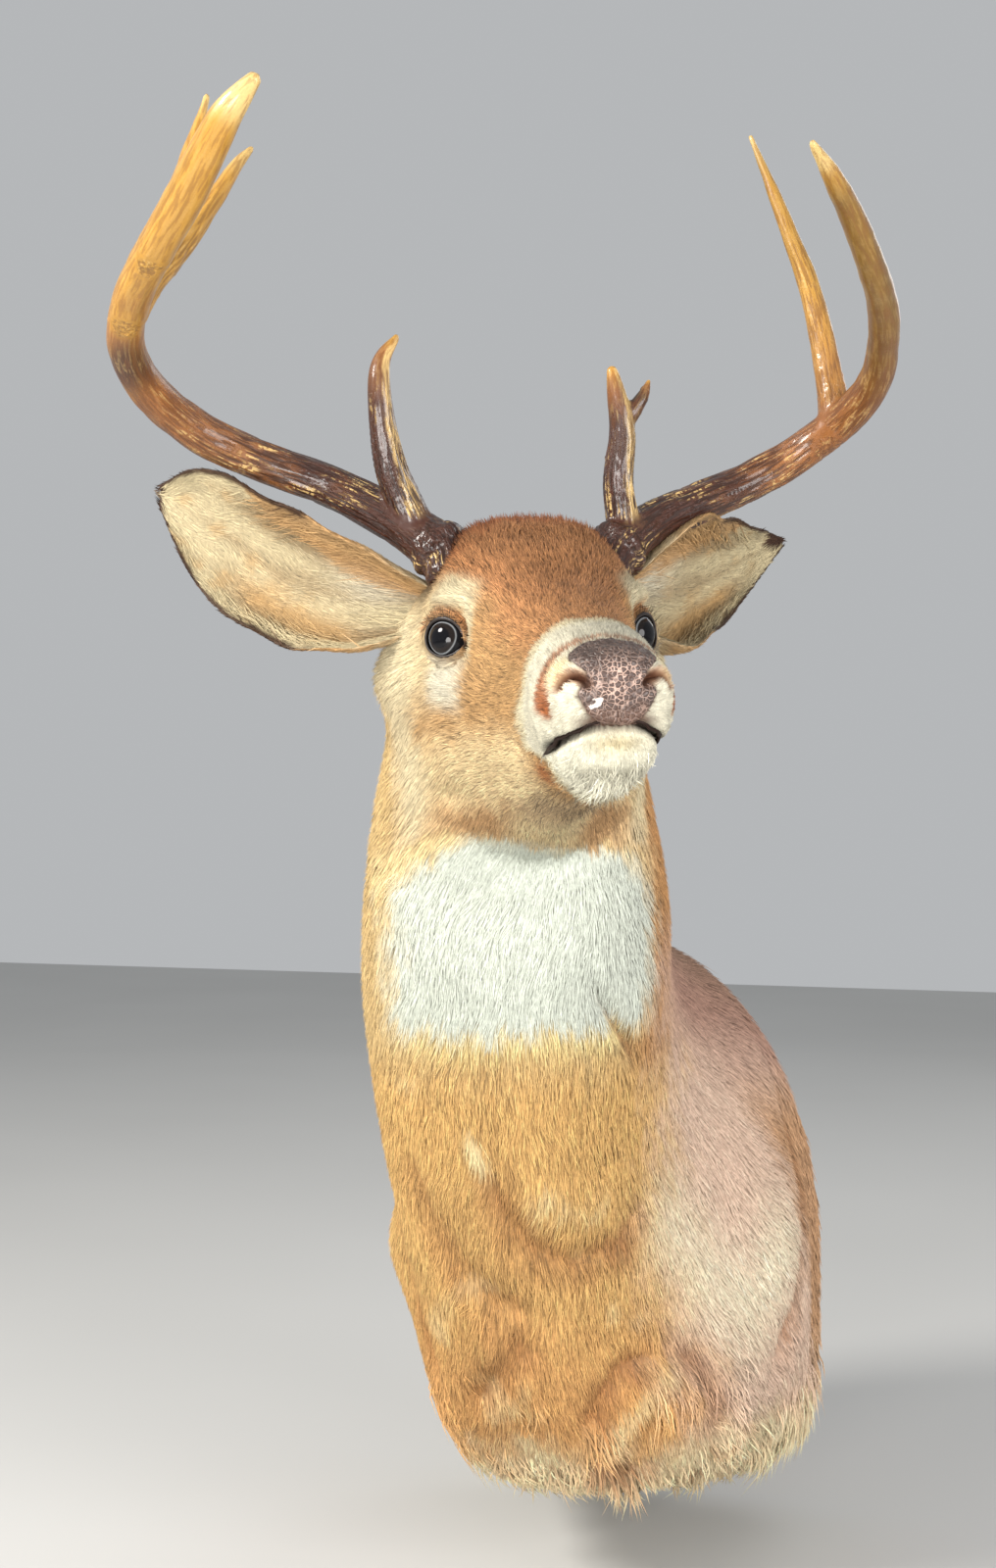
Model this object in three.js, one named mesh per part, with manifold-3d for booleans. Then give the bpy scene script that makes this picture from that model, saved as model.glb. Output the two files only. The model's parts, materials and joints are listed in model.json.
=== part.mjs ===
// A white-tailed deer shoulder mount: head, neck and shoulders on a wooden backboard.
//
// Frame: millimetres, +Z up. The origin is the middle of the backboard's back face, which lies
// against the wall in the plane y = 0, so the deer looks out along -Y. +X is the deer's left.
// The coat's outer surface is one loft: cross sections run from the nose back over the head,
// fan round the throat into the neck and fan again into the trunk, and soft swellings and
// hollows are added to it. Planar cuts part it into head, neck and trunk.

import * as THREE from 'three';
import { mergeVertices } from 'three/addons/utils/BufferGeometryUtils.js';
import Module from 'manifold-3d';

const wasm = await Module();
wasm.setup();

// ---------------------------------------------------------------- driving dimensions

const GAP = 0.35;                                  // clearance between neighbouring pieces
const HEAD_AT = new THREE.Vector3(105, -460, 389); // middle of the line between the eyes
const HEAD_TURN = 29.5;                            // degrees from -Y towards +X
const HEAD_PITCH = -2.4;                           // degrees, nose down is negative
const HEAD_ROLL = -2.3;                            // degrees about the nose line

// Head sections, in the head's own axes. top and bottom are [forward, up] of the eye line,
// half is the half width, belt the height of the widest line (0 bottom, 1 top), and full the
// exponents of the superellipse above and below the belt.
const HEAD_SECTIONS = [
  { top: [159, -14], bottom: [147, -82], half: 27, belt: 0.62, full: [2.3, 2.0] },
  { top: [149, -9], bottom: [139, -88], half: 30, belt: 0.62, full: [2.4, 1.9] },
  { top: [130, -1], bottom: [122, -89], half: 32, belt: 0.6, full: [2.5, 1.85] },
  { top: [104, 6], bottom: [100, -90], half: 33, belt: 0.56, full: [2.5, 1.85] },
  { top: [78, 14], bottom: [76, -93], half: 36, belt: 0.52, full: [2.5, 1.85] },
  { top: [50, 27], bottom: [50, -97], half: 41, belt: 0.52, full: [2.5, 1.9] },
  { top: [26, 41], bottom: [28, -102], half: 48, belt: 0.56, full: [2.6, 1.9] },
  { top: [2, 54], bottom: [6, -108], half: 54, belt: 0.6, full: [2.7, 1.9] },
  { top: [-24, 65], bottom: [-14, -115], half: 60, belt: 0.59, full: [2.8, 1.95] },
  { top: [-54, 71], bottom: [-30, -123], half: 65, belt: 0.52, full: [2.6, 2.0] },
  { top: [-86, 66], bottom: [-42, -132], half: 73, belt: 0.45, full: [2.2, 2.0] },
];
const NOSE_TIP = [0, 172, -38];                    // left, forward, up

// Neck and trunk sections, in the mount's frame. nape and throat are the section's upper and
// lower points, half is [right, left] and full is [above, below right, below left].
const BODY_SECTIONS = [
  { nape: [47, -345, 430], throat: [82, -418, 236], half: [85, 75], belt: 0.45, full: [2, 2, 2] },
  { nape: [36, -292, 380], throat: [70, -424, 190], half: [94, 87], belt: 0.47, full: [2, 2, 2] },
  { nape: [22, -222, 325], throat: [52, -408, 118], half: [101, 101], belt: 0.48, full: [2, 2, 2] },
  { nape: [10, -145, 278], throat: [33, -376, 36], half: [98, 104], belt: 0.48, full: [2, 2, 2] },
  { nape: [3, -82, 243], throat: [18, -340, -44], half: [90, 112], belt: 0.47, full: [2, 1.9, 2.1] },
  { nape: [1, -50, 225], throat: [8, -306, -104], half: [91, 130], belt: 0.46, full: [2, 1.8, 2.3] },
  { nape: [0, -30, 215], throat: [4, -250, -155], half: [106, 152], belt: 0.44, full: [2, 1.7, 3] },
  { nape: [0, -15, 209], throat: [2, -150, -184], half: [138, 168], belt: 0.42, full: [2.1, 1.7, 4.2] },
  { nape: [0, -2, 205], throat: [0, -2, -205], half: [162, 177], belt: 0.4, full: [2.1, 1.9, 5.5] },
];
const NECK_TWIST_SECTIONS = 5;                     // sections over which the head's turn is lost
const HEAD_END = HEAD_SECTIONS.length - 1;         // the section where the head meets the neck
const NECK_END = 14.5;                             // the section where the neck meets the trunk
const TRUNK_END = HEAD_SECTIONS.length + BODY_SECTIONS.length - 1;

// Swellings (+) and hollows (-) of the head, mirrored on both sides: centre and radii along
// [left, forward, up], direction and height.
const HEAD_SWELLS = [
  { name: 'orbit', at: [56, 4, 0], size: [18, 17, 15], along: [0.9, 0.5, 0], by: -9 },
  { name: 'brow', at: [52, -6, 21], size: [14, 24, 9], along: [1, 0.2, 0.3], by: 8 },
  { name: 'cheekbone', at: [50, -8, -22], size: [14, 30, 10], along: [1, 0, 0], by: 5 },
  { name: 'cheek', at: [46, -40, -50], size: [24, 40, 36], along: [1, 0, -0.1], by: 9 },
  { name: 'tear pit', at: [44, 32, -14], size: [12, 14, 10], along: [1, 0, 0], by: -4 },
  { name: 'muzzle side', at: [34, 78, -38], size: [16, 34, 20], along: [1, 0, 0], by: -3 },
  { name: 'whisker pad', at: [30, 138, -44], size: [16, 24, 18], along: [1, 0.2, 0], by: 4 },
  { name: 'nostril wing', at: [22, 158, -28], size: [12, 12, 14], along: [0.8, 0.6, 0], by: 3 },
  { name: 'stop', at: [0, 35, 40], size: [26, 22, 20], along: [0, 0, 1], by: -3 },
  { name: 'mouth', at: [0, 146, -62], size: [40, 20, 5], along: [0, 1, 0], by: -3 },
  { name: 'ear base', at: [70, -74, -10], size: [34, 28, 32], along: [1, -0.2, -0.1], by: 18 },
];
// The same for the trunk, in the mount's frame and not mirrored.
const TRUNK_SWELLS = [
  { name: 'left shoulder', at: [150, -95, -40], size: [60, 70, 110], along: [1, -0.25, 0], by: 12 },
  { name: 'right shoulder', at: [-140, -80, -40], size: [50, 60, 90], along: [-1, -0.2, 0], by: 4 },
  { name: 'right arm', at: [-90, -230, 0], size: [50, 70, 40], along: [-1, -0.2, -0.2], by: 15 },
  { name: 'back rim', at: [160, -28, -60], size: [60, 12, 200], along: [1, 0, 0], by: -6 },
];

const EYE_RADIUS = 16;
const EYE_AT = [48, -11, 0];
const MOUTH_LINE = [[180, -55], [150, -56], [124, -60], [104, -66], [90, -67]];
const JAW_BACK = [[84, -78], [80, -112], [180, -112]];
const NOSE_PAD = { at: [0, 174, -27], size: [27, 22, 21] }; // an ellipsoid that cuts out the pad

// Ears, in the head's axes: root and tip, the ways the cup opens and its lower edge hangs, the
// half widths from root to tip and how far the blade's middle hangs below its axis.
const EARS = {
  right: {
    root: [-50, -78, 20], tip: [-206, -120, 95], opens: [-0.254, 0.967, 0], low: [-0.1, -0.1, -1],
    halves: [13, 20, 28, 33, 37, 39, 40, 36, 27, 6], sag: 16,
  },
  left: {
    root: [48, -78, 16], tip: [192, -170, 66], opens: [0.484, 0.854, 0.19], low: [-0.14, 0.05, -1],
    halves: [13, 28, 38, 39, 36, 32, 27, 20, 12, 3], sag: 5,
  },
};
const EAR_CUP_START = 118;                         // half angle of the cup at the root, degrees
const EAR_CUP_END = 34;                            // and at the tip
const EAR_THICKNESS = 6;
const EAR_ROWS = 11;

// Antlers, in the head's axes: points down the middle of each beam and tine, each with its
// radius. forks are where a beam is parted, counted in points along its path.
const ANTLERS = {
  right: {
    beam: {
      forks: [7.5, 9],
      path: [
        [-44, -46, 37, 15], [-47, -55, 51, 15], [-74, -70, 74, 13.5], [-109, -86, 95, 12.5],
        [-148, -92, 111, 12], [-182, -84, 126, 12], [-210, -58, 146, 11], [-221, -22, 165, 10.2],
        [-215, 20, 181, 10], [-203, 62, 193, 9.8], [-189, 100, 206, 9.5], [-177, 130, 221, 8.8],
        [-167, 150, 233, 7.2], [-155, 160, 245, 3.5],
      ],
    },
    tines: {
      brow: [
        [-58, -62, 60, 11.5], [-69, -60, 84, 10.5], [-76, -55, 102, 9.2], [-80, -50, 122, 7.8],
        [-82, -47, 143, 6.8], [-80, -48, 160, 5.3], [-70, -52, 175, 2.2],
      ],
      second: [
        [-217, 3, 174, 8.5], [-208, -2, 192, 8.5], [-197, -12, 206, 7.5], [-184, -25, 225, 6.5],
        [-169, -38, 249, 5.2], [-157, -48, 269, 3.8], [-148, -52, 280, 1.8],
      ],
      third: [
        [-203, 63, 192, 7.5], [-197, 66, 207, 6.8], [-189, 58, 226, 6], [-182, 48, 249, 4.5],
        [-174, 40, 277, 1.8],
      ],
    },
  },
  left: {
    beam: {
      forks: [6.5],
      path: [
        [44, -46, 35, 15], [53, -55, 50, 15], [77, -68, 67, 13.2], [107, -82, 80, 12.6],
        [138, -93, 92, 12.2], [166, -94, 105, 12], [186, -84, 118, 11.5], [201, -62, 131, 11],
        [206, -32, 145, 10], [199, 2, 160, 9], [184, 40, 174, 8.5], [163, 78, 186, 7.5],
        [141, 112, 200, 6.5], [121, 140, 211, 5], [104, 160, 221, 2],
      ],
    },
    tines: {
      brow: [
        [62, -60, 56, 11], [59, -58, 75, 9.8], [57, -54, 94, 9], [59, -50, 120, 7.8],
        [56, -48, 140, 6], [53, -47, 156, 3],
      ],
      kicker: [[59, -50, 122, 5], [66, -49, 132, 4.8], [72, -49, 141, 3.6], [76, -50, 150, 1.5]],
      second: [
        [194, -73, 124, 9.5], [196, -73, 138, 9.5], [194, -76, 160, 8.5], [191, -80, 187, 7.5],
        [185, -84, 217, 6.5], [176, -89, 247, 5.2], [168, -94, 274, 3.8], [157, -100, 308, 1.5],
      ],
    },
  },
};
const BURR_RINGS = [-1.6, -1, -0.5, 0, 0.5, 1, 1.6]; // where its rings lie, in widths from its middle
const BURR = { radius: 19.5, at: 1.15, width: 0.18 }; // knobbly ring; at and width count in points

const BOARD_INSET = 16;                            // the board's edge lies inside the coat by this
const BOARD_THICKNESS = 19;
const HANGER = { width: 64, height: 22, thickness: 2, z: 140, back: -1.7 };
const KEYHOLE = { eye: 5.5, slot: 2.6, rise: 6 };  // eye radius, slot half width, slot length
const KEYHOLE_POCKET = { radius: 9, depth: 12 };
const SCREW = { head: 4.2, headHeight: 1.2, shank: 1.8, length: 12, spread: 24, sides: 10 };
const JAW_CUTTER_WIDTH = 140;

const ROW_STEP = 0.5;                              // points between the rings of an antler
const NOSE_ROWS = [-0.86, -0.66, -0.44, -0.22];    // places of the rings that round the nose off
const HEAD_ROWS = 16;
const HEAD_COLUMNS = 34;
const NECK_ROWS = 9;
const TRUNK_ROWS = 10;
const BODY_COLUMNS = 28;
const EAR_COLUMNS = 8;
const EAR_ROOT_ROWS = 7;                           // rows of an ear that can meet the head
const BEAM_SIDES = 8;
const TINE_SIDES = 7;
const BOARD_SIDES = 36;
const BALL_SEGMENTS = [14, 10];                    // of the eyes and the nose pad's cutter
const PARTING = 0.0025;                            // sections left out where neck meets trunk

// ---------------------------------------------------------------- axes of the head

const rad = THREE.MathUtils.degToRad;

/** The head's left, forward and up directions in the mount's frame, as one matrix. */
function headMatrix() {
  const turn = rad(HEAD_TURN);
  const pitch = rad(HEAD_PITCH);
  const forward = new THREE.Vector3(
    Math.sin(turn) * Math.cos(pitch), -Math.cos(turn) * Math.cos(pitch), Math.sin(pitch));
  const left = new THREE.Vector3(Math.cos(turn), Math.sin(turn), 0);
  const up = forward.clone().cross(left);
  left.applyAxisAngle(forward, rad(-HEAD_ROLL));
  up.applyAxisAngle(forward, rad(-HEAD_ROLL));
  return new THREE.Matrix4().makeBasis(left, forward, up).setPosition(HEAD_AT);
}
const HEAD = headMatrix();
const HEAD_INVERSE = HEAD.clone().invert();
const headPoint = (p) => new THREE.Vector3(...p).applyMatrix4(HEAD);
const headDirection = (p) => new THREE.Vector3(...p).transformDirection(HEAD);

// ---------------------------------------------------------------- solids

/** A BufferGeometry from points and triangles. */
function fromTriangles(points, triangles) {
  const geometry = new THREE.BufferGeometry();
  const positions = points.flatMap((p) => [p.x, p.y, p.z]);
  geometry.setAttribute('position', new THREE.Float32BufferAttribute(positions, 3));
  geometry.setIndex(triangles.flat());
  return geometry;
}

/** The triangles between rings of equal size whose points lie one ring after another. */
function bands(rings) {
  const size = rings[0].length;
  const triangles = [];
  for (let row = 0; row + 1 < rings.length; row += 1) {
    for (let k = 0; k < size; k += 1) {
      const a = row * size + k;
      const b = row * size + ((k + 1) % size);
      triangles.push([a, b, b + size], [a, b + size, a + size]);
    }
  }
  return triangles;
}

/** A closed solid from rings of equal size; start and end are the points its end fans meet in. */
function ringSolid(rings, start, end) {
  const size = rings[0].length;
  const last = (rings.length - 1) * size;
  const triangles = bands(rings);
  for (let k = 0; k < size; k += 1) {
    const next = (k + 1) % size;
    triangles.push([last + size, next, k], [last + size + 1, last + k, last + next]);
  }
  return toSolid(fromTriangles([...rings.flat(), start, end], triangles));
}

/** A closed solid from long thin rings, whose ends are closed by strips across the ring. */
function shellSolid(rings) {
  const size = rings[0].length;
  const last = (rings.length - 1) * size;
  const triangles = bands(rings);
  for (let k = 0; k + 1 < size / 2; k += 1) {
    const far = size - 1 - k;
    triangles.push([k + 1, k, far], [k + 1, far, far - 1]);
    triangles.push([last + k, last + k + 1, last + far], [last + far, last + k + 1, last + far - 1]);
  }
  return toSolid(fromTriangles(rings.flat(), triangles));
}

/** The manifold-3d solid of a closed geometry, with its faces turned outwards. */
function toSolid(geometry) {
  const bare = geometry.clone();
  bare.deleteAttribute('normal');
  bare.deleteAttribute('uv');
  const merged = mergeVertices(bare, 1e-4);
  const { position } = merged.attributes;
  const corner = (i) => new THREE.Vector3().fromBufferAttribute(position, i);
  const triangles = [];
  let volume = 0;
  for (let i = 0; i < merged.index.count; i += 3) {
    const [a, b, c] = [0, 1, 2].map((k) => merged.index.getX(i + k));
    if (a !== b && b !== c && c !== a) {
      triangles.push([a, b, c]);
      volume += corner(a).dot(corner(b).cross(corner(c)));
    }
  }
  const outwards = triangles.flatMap(([a, b, c]) => (volume < 0 ? [a, c, b] : [a, b, c]));
  return new wasm.Manifold(new wasm.Mesh({
    numProp: 3,
    vertProperties: new Float32Array(position.array),
    triVerts: new Uint32Array(outwards),
  }));
}

/** The geometry of a manifold-3d solid. */
function toGeometry(solid) {
  const mesh = solid.getMesh();
  const geometry = new THREE.BufferGeometry();
  geometry.setAttribute('position', new THREE.BufferAttribute(new Float32Array(mesh.vertProperties), 3));
  geometry.setIndex(new THREE.BufferAttribute(new Uint32Array(mesh.triVerts), 1));
  return geometry;
}

/** The solid with each of the cutters taken away, without the scraps that they cut loose. */
function cut(solid, ...cutters) {
  const pieces = cutters.reduce((rest, cutter) => rest.subtract(cutter), solid).decompose();
  return pieces.sort((a, b) => b.volume() - a.volume())[0];
}

/** Catmull-Rom value at t along a list of number lists; the ends run on straight. */
function catmullRom(list, t) {
  const i = Math.min(Math.max(Math.floor(t), 0), list.length - 2);
  const f = t - i;
  const before = list[i - 1] ?? list[0].map((v, k) => 2 * v - list[1][k]);
  const after = list[i + 2] ?? list.at(-1).map((v, k) => 2 * v - list.at(-2)[k]);
  return list[i].map((b, k) => {
    const [a, c, d] = [before[k], list[i + 1][k], after[k]];
    return 0.5 * (2 * b + (c - a) * f + (2 * a - 5 * b + 4 * c - d) * f * f
      + (3 * b - a - 3 * c + d) * f ** 3);
  });
}

// ---------------------------------------------------------------- the coat's surface

/** All sections as number lists: top, bottom, sideways direction, widths, belt and fullness. */
function allSections() {
  const headLeft = headDirection([1, 0, 0]);
  const head = HEAD_SECTIONS.map(({ top, bottom, half, belt, full }) => [
    ...headPoint([0, ...top]).toArray(), ...headPoint([0, ...bottom]).toArray(),
    ...headLeft.toArray(), half, half, belt, full[0], full[1], full[1]]);
  const body = BODY_SECTIONS.map(({ nape, throat, half, belt, full }, i) => {
    const share = Math.min((i + 1) / NECK_TWIST_SECTIONS, 1);
    const across = headLeft.clone().lerp(new THREE.Vector3(1, 0, 0), share).normalize();
    return [...nape, ...throat, ...across.toArray(), ...half, belt, ...full];
  });
  return [...head, ...body];
}
const SECTIONS = allSections();

/** The section at t: its belt's middle, and its point at the angle phi from the left. */
function sectionPoint(t, phi) {
  const s = catmullRom(SECTIONS, Math.max(t, 0));
  const top = new THREE.Vector3(s[0], s[1], s[2]);
  const bottom = new THREE.Vector3(s[3], s[4], s[5]);
  const across = new THREE.Vector3(s[6], s[7], s[8]).normalize();
  const [right, left, belt, fullAbove, fullRight, fullLeft] = s.slice(9);
  const middle = bottom.clone().lerp(top, belt);
  const c = Math.cos(phi);
  const h = Math.sin(phi);
  const full = h >= 0 ? fullAbove : (c > 0 ? fullLeft : fullRight);
  const reach = (Math.abs(c) ** full + Math.abs(h) ** full) ** (-1 / full);
  const arm = h >= 0 ? top.clone().sub(middle) : middle.clone().sub(bottom);
  const point = middle.clone()
    .addScaledVector(across, reach * c * (c > 0 ? left : right))
    .addScaledVector(arm, reach * h);
  return { middle, point };
}

/** Adds a list of swellings to a point; mirrored ones act on both signs of x alike. */
function swell(point, swells, mirrored) {
  const side = mirrored && point.x < 0 ? -1 : 1;
  const folded = new THREE.Vector3(side * point.x, point.y, point.z);
  const moved = folded.clone();
  for (const { at, size, along, by } of swells) {
    const d = folded.clone().sub(new THREE.Vector3(...at)).divide(new THREE.Vector3(...size));
    moved.addScaledVector(new THREE.Vector3(...along).normalize(), by * Math.exp(-d.lengthSq()));
  }
  moved.x *= side;
  return moved;
}

/** The coat's surface: t runs from -1 at the nose tip through the sections, phi goes round. */
function coatPoint(t, phi) {
  const { middle, point } = sectionPoint(t, phi);
  if (t < 0) {
    const round = (t + 1) * Math.PI / 2;
    const nose = headPoint(NOSE_TIP).sub(middle).multiplyScalar(Math.cos(round));
    point.sub(middle).multiplyScalar(Math.sin(round)).add(middle).add(nose);
  }
  const inHead = swell(point.applyMatrix4(HEAD_INVERSE), HEAD_SWELLS, true);
  return swell(inHead.applyMatrix4(HEAD), TRUNK_SWELLS, false);
}

/** The solid between two places along the loft. */
function coatSolid(rows, columns) {
  const ring = (t) => Array.from({ length: columns }, (_, k) => coatPoint(t, k / columns * 2 * Math.PI));
  const startsAtNose = rows[0] < 0;
  const start = startsAtNose ? coatPoint(-1, 0) : sectionPoint(rows[0], 0).middle;
  return ringSolid(rows.map(ring), start, sectionPoint(rows.at(-1), 0).middle);
}

/** Evenly spaced values from a to b, both included. */
const spread = (a, b, steps) => Array.from({ length: steps + 1 }, (_, i) => a + (b - a) * i / steps);

// ---------------------------------------------------------------- ears

/** An ear: a leaf rolled into a cup, open towards `opens`, as a closed shell of `rows` rings. */
function earSolid({ root, tip, opens, low, halves, sag }, { grow = 0, rows = EAR_ROWS } = {}) {
  const from = new THREE.Vector3(...root);
  const axis = new THREE.Vector3(...tip).sub(from);
  const open = new THREE.Vector3(...opens).normalize();
  const down = new THREE.Vector3(...low).normalize();
  const rings = [];
  for (let row = 0; row <= rows; row += 1) {
    const u = row === 0 ? -grow / axis.length() : row / EAR_ROWS;
    const [half] = catmullRom(halves.map((w) => [w]), u * (halves.length - 1));
    const cup = rad(THREE.MathUtils.lerp(EAR_CUP_START, EAR_CUP_END, u));
    const radius = half / Math.sin(Math.min(cup, Math.PI / 2));
    const thick = Math.min(EAR_THICKNESS, half) / 2 + grow;
    const turn = cup + grow / (radius - thick);
    const middle = from.clone().addScaledVector(axis, u)
      .addScaledVector(down, sag * Math.sin(Math.PI * u));
    const edge = (v, offset) => middle.clone()
      .addScaledVector(down, (radius + offset) * Math.sin(v * turn))
      .addScaledVector(open, radius - (radius + offset) * Math.cos(v * turn))
      .applyMatrix4(HEAD);
    const vs = spread(-1, 1, EAR_COLUMNS);
    rings.push([...vs.map((v) => edge(v, thick)), ...vs.reverse().map((v) => edge(v, -thick))]);
  }
  return shellSolid(rings);
}

// ---------------------------------------------------------------- antlers

/** Where the rings of an antler's bar stand: every half point from 0 to b, and close at the burr. */
function ringPlaces(a, b, burr) {
  const places = [a, b];
  for (let t = 0; t < b; t += ROW_STEP) {
    places.push(t);
  }
  if (burr) {
    places.push(...BURR_RINGS.map((k) => burr.at + k * burr.width));
  }
  const apart = (t, i, all) => i === 0 || t === a || t - all[i - 1] > 0.01;
  return places.filter((t) => t <= b).sort((p, q) => p - q).filter(apart);
}

/** A tapered round bar along a path of [left, forward, up, radius], from point a to point b. */
function antlerSolid(path, { from = 0, to = path.length - 1, grow = 0, sides = BEAM_SIDES, burr = null } = {}) {
  let side = new THREE.Vector3(0, 0, 1);
  const rings = [];
  for (const t of ringPlaces(from, to, burr)) {
    const [x, y, z, r] = catmullRom(path, t);
    const [x0, y0, z0] = catmullRom(path, Math.max(t - 0.05, 0));
    const [x1, y1, z1] = catmullRom(path, Math.min(t + 0.05, path.length - 1));
    const ahead = new THREE.Vector3(x1 - x0, y1 - y0, z1 - z0).normalize();
    side = side.clone().addScaledVector(ahead, -side.dot(ahead)).normalize();
    const other = ahead.clone().cross(side);
    const bulge = burr ? (burr.radius - r) * Math.exp(-(((t - burr.at) / burr.width) ** 2)) : 0;
    if (t >= from) {
      rings.push(Array.from({ length: sides }, (_, k) => new THREE.Vector3(x, y, z)
        .addScaledVector(side, (r + bulge + grow) * Math.cos(k / sides * 2 * Math.PI))
        .addScaledVector(other, (r + bulge + grow) * Math.sin(k / sides * 2 * Math.PI))
        .applyMatrix4(HEAD)));
    }
  }
  const middle = (t) => headPoint(catmullRom(path, t).slice(0, 3));
  return ringSolid(rings, middle(from), middle(to));
}

/** The named solids of one antler: its beam in lengths between the forks, and its tines. */
function antlerParts({ beam, tines }) {
  const parts = {};
  const total = beam.path.length - 1;
  const ends = [0, ...beam.forks, total];
  const names = beam.forks.length > 1 ? ['base', 'middle', 'end'] : ['base', 'end'];
  names.forEach((name, i) => {
    const from = i === 0 ? 0 : ends[i] + 0.005;
    const to = i === names.length - 1 ? total : ends[i + 1] - 0.005;
    parts[`beam_${name}`] = antlerSolid(beam.path, { from, to, burr: BURR });
  });
  const grown = antlerSolid(beam.path, { grow: GAP, burr: BURR });
  const browGrown = antlerSolid(tines.brow, { grow: GAP, sides: TINE_SIDES });
  for (const [name, path] of Object.entries(tines)) {
    const tine = cut(antlerSolid(path, { sides: TINE_SIDES }), grown);
    parts[`${name}_tine`] = name === 'kicker' ? cut(tine, browGrown) : tine;
  }
  return parts;
}

// ---------------------------------------------------------------- board and hanger

/** Moves a shape drawn in XY and extruded along Z so that it stands behind y = back. */
function standUp(geometry, back, z = 0) {
  geometry.rotateX(Math.PI / 2);
  geometry.translate(0, back, z);
  return geometry;
}

/** The backboard: the trunk's last outline, drawn in by the inset, as a flat plank. */
function boardSolid(grow = 0) {
  const outline = Array.from({ length: BOARD_SIDES }, (_, k) => {
    const { middle, point } = sectionPoint(TRUNK_END, k / BOARD_SIDES * 2 * Math.PI);
    const arm = new THREE.Vector2(point.x - middle.x, point.z - middle.z);
    arm.setLength(arm.length() - BOARD_INSET + grow);
    return new THREE.Vector2(middle.x + arm.x, middle.z + arm.y);
  });
  const options = { depth: BOARD_THICKNESS + 2 * grow, bevelEnabled: false };
  return toSolid(standUp(new THREE.ExtrudeGeometry(new THREE.Shape(outline), options), grow));
}

/** The steel hanger's outline, with its keyhole when it isn't grown. */
function hangerSolid(grow = 0) {
  const { width, height, thickness, z, back } = HANGER;
  const [x, y] = [width / 2 - height / 2, height / 2 + grow];
  const shape = new THREE.Shape();
  shape.absarc(x, 0, y, -Math.PI / 2, Math.PI / 2, false);
  shape.absarc(-x, 0, y, Math.PI / 2, Math.PI * 1.5, false);
  if (grow === 0) {
    const hole = new THREE.Path();
    const half = Math.asin(KEYHOLE.slot / KEYHOLE.eye);
    hole.absarc(0, -3, KEYHOLE.eye, Math.PI / 2 + half, Math.PI / 2 - half + 2 * Math.PI, false);
    hole.absarc(0, KEYHOLE.rise, KEYHOLE.slot, 0, Math.PI, false);
    shape.holes.push(hole);
  }
  const depth = grow === 0 ? thickness : thickness - back + grow;
  const geometry = new THREE.ExtrudeGeometry(shape, { depth, bevelEnabled: false, curveSegments: 4 });
  return toSolid(standUp(geometry, grow === 0 ? back : 0.01, z));
}

/** A wood screw that holds the hanger, its head just off the hanger's outer face. */
function screwSolid(x, grow = 0) {
  const { head, headHeight, shank, length, sides } = SCREW;
  const profile = [[0, 0], [head, 0], [head, headHeight], [shank + grow, headHeight],
    [shank + grow, length + grow], [0, length + grow]];
  const screw = new THREE.LatheGeometry(profile.map(([r, y]) => new THREE.Vector2(r, y)), sides);
  screw.rotateX(Math.PI);
  screw.translate(x, HANGER.back + headHeight + GAP, HANGER.z);
  return toSolid(screw);
}

// ---------------------------------------------------------------- other cutters

/** An eyeball, or the socket it sits in when grown. */
function eyeSolid(side, grow = 0) {
  const ball = new THREE.SphereGeometry(EYE_RADIUS + grow, ...BALL_SEGMENTS);
  ball.translate(side * EYE_AT[0], EYE_AT[1], EYE_AT[2]);
  return toSolid(ball.applyMatrix4(HEAD));
}

/** The ellipsoid whose common part with the head is the nose pad. */
function noseSolid(grow = 0) {
  const pad = new THREE.SphereGeometry(1, ...BALL_SEGMENTS);
  pad.scale(...NOSE_PAD.size.map((r) => r + grow));
  pad.translate(...NOSE_PAD.at);
  return toSolid(pad.applyMatrix4(HEAD));
}

/** The block below the line of the mouth, moved forward and down by `inset`. */
function jawSolid(inset = 0) {
  const outline = [...MOUTH_LINE, ...JAW_BACK].map(([f, u]) => new THREE.Vector2(f + inset, u - inset));
  const options = { depth: JAW_CUTTER_WIDTH, bevelEnabled: false };
  const block = new THREE.ExtrudeGeometry(new THREE.Shape(outline), options);
  const places = block.attributes.position;
  for (let i = 0; i < places.count; i += 1) {
    places.setXYZ(i, places.getZ(i) - JAW_CUTTER_WIDTH / 2, places.getX(i), places.getY(i));
  }
  return toSolid(block.applyMatrix4(HEAD));
}

// ---------------------------------------------------------------- assembly

const solids = {};

const headBlank = coatSolid([...NOSE_ROWS, ...spread(0, HEAD_END, HEAD_ROWS)], HEAD_COLUMNS);
const ears = {};
const antlers = {};
const roots = [];
for (const side of ['left', 'right']) {
  const antlerRoot = antlerSolid(ANTLERS[side].beam.path, { to: 5, grow: GAP, burr: BURR });
  ears[side] = cut(earSolid(EARS[side]), antlerRoot);
  antlers[side] = antlerParts(ANTLERS[side]);
  roots.push(earSolid(EARS[side], { grow: GAP, rows: EAR_ROOT_ROWS }));
  roots.push(antlerRoot);
  roots.push(antlerSolid(ANTLERS[side].tines.brow, { to: 1.5, grow: GAP, sides: TINE_SIDES }));
  roots.push(eyeSolid(side === 'left' ? 1 : -1, GAP));
}
const skull = cut(headBlank, ...roots);
solids.head = cut(skull, jawSolid(), noseSolid(GAP));
solids.lower_jaw = headBlank.intersect(jawSolid(GAP));
solids.nose = headBlank.intersect(noseSolid());
const neckBlank = coatSolid(spread(HEAD_END + 6 * PARTING, NECK_END - PARTING, NECK_ROWS), BODY_COLUMNS);
solids.neck = cut(neckBlank, ...roots);
const board = boardSolid();
const screwPlaces = [-SCREW.spread, SCREW.spread];
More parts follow.
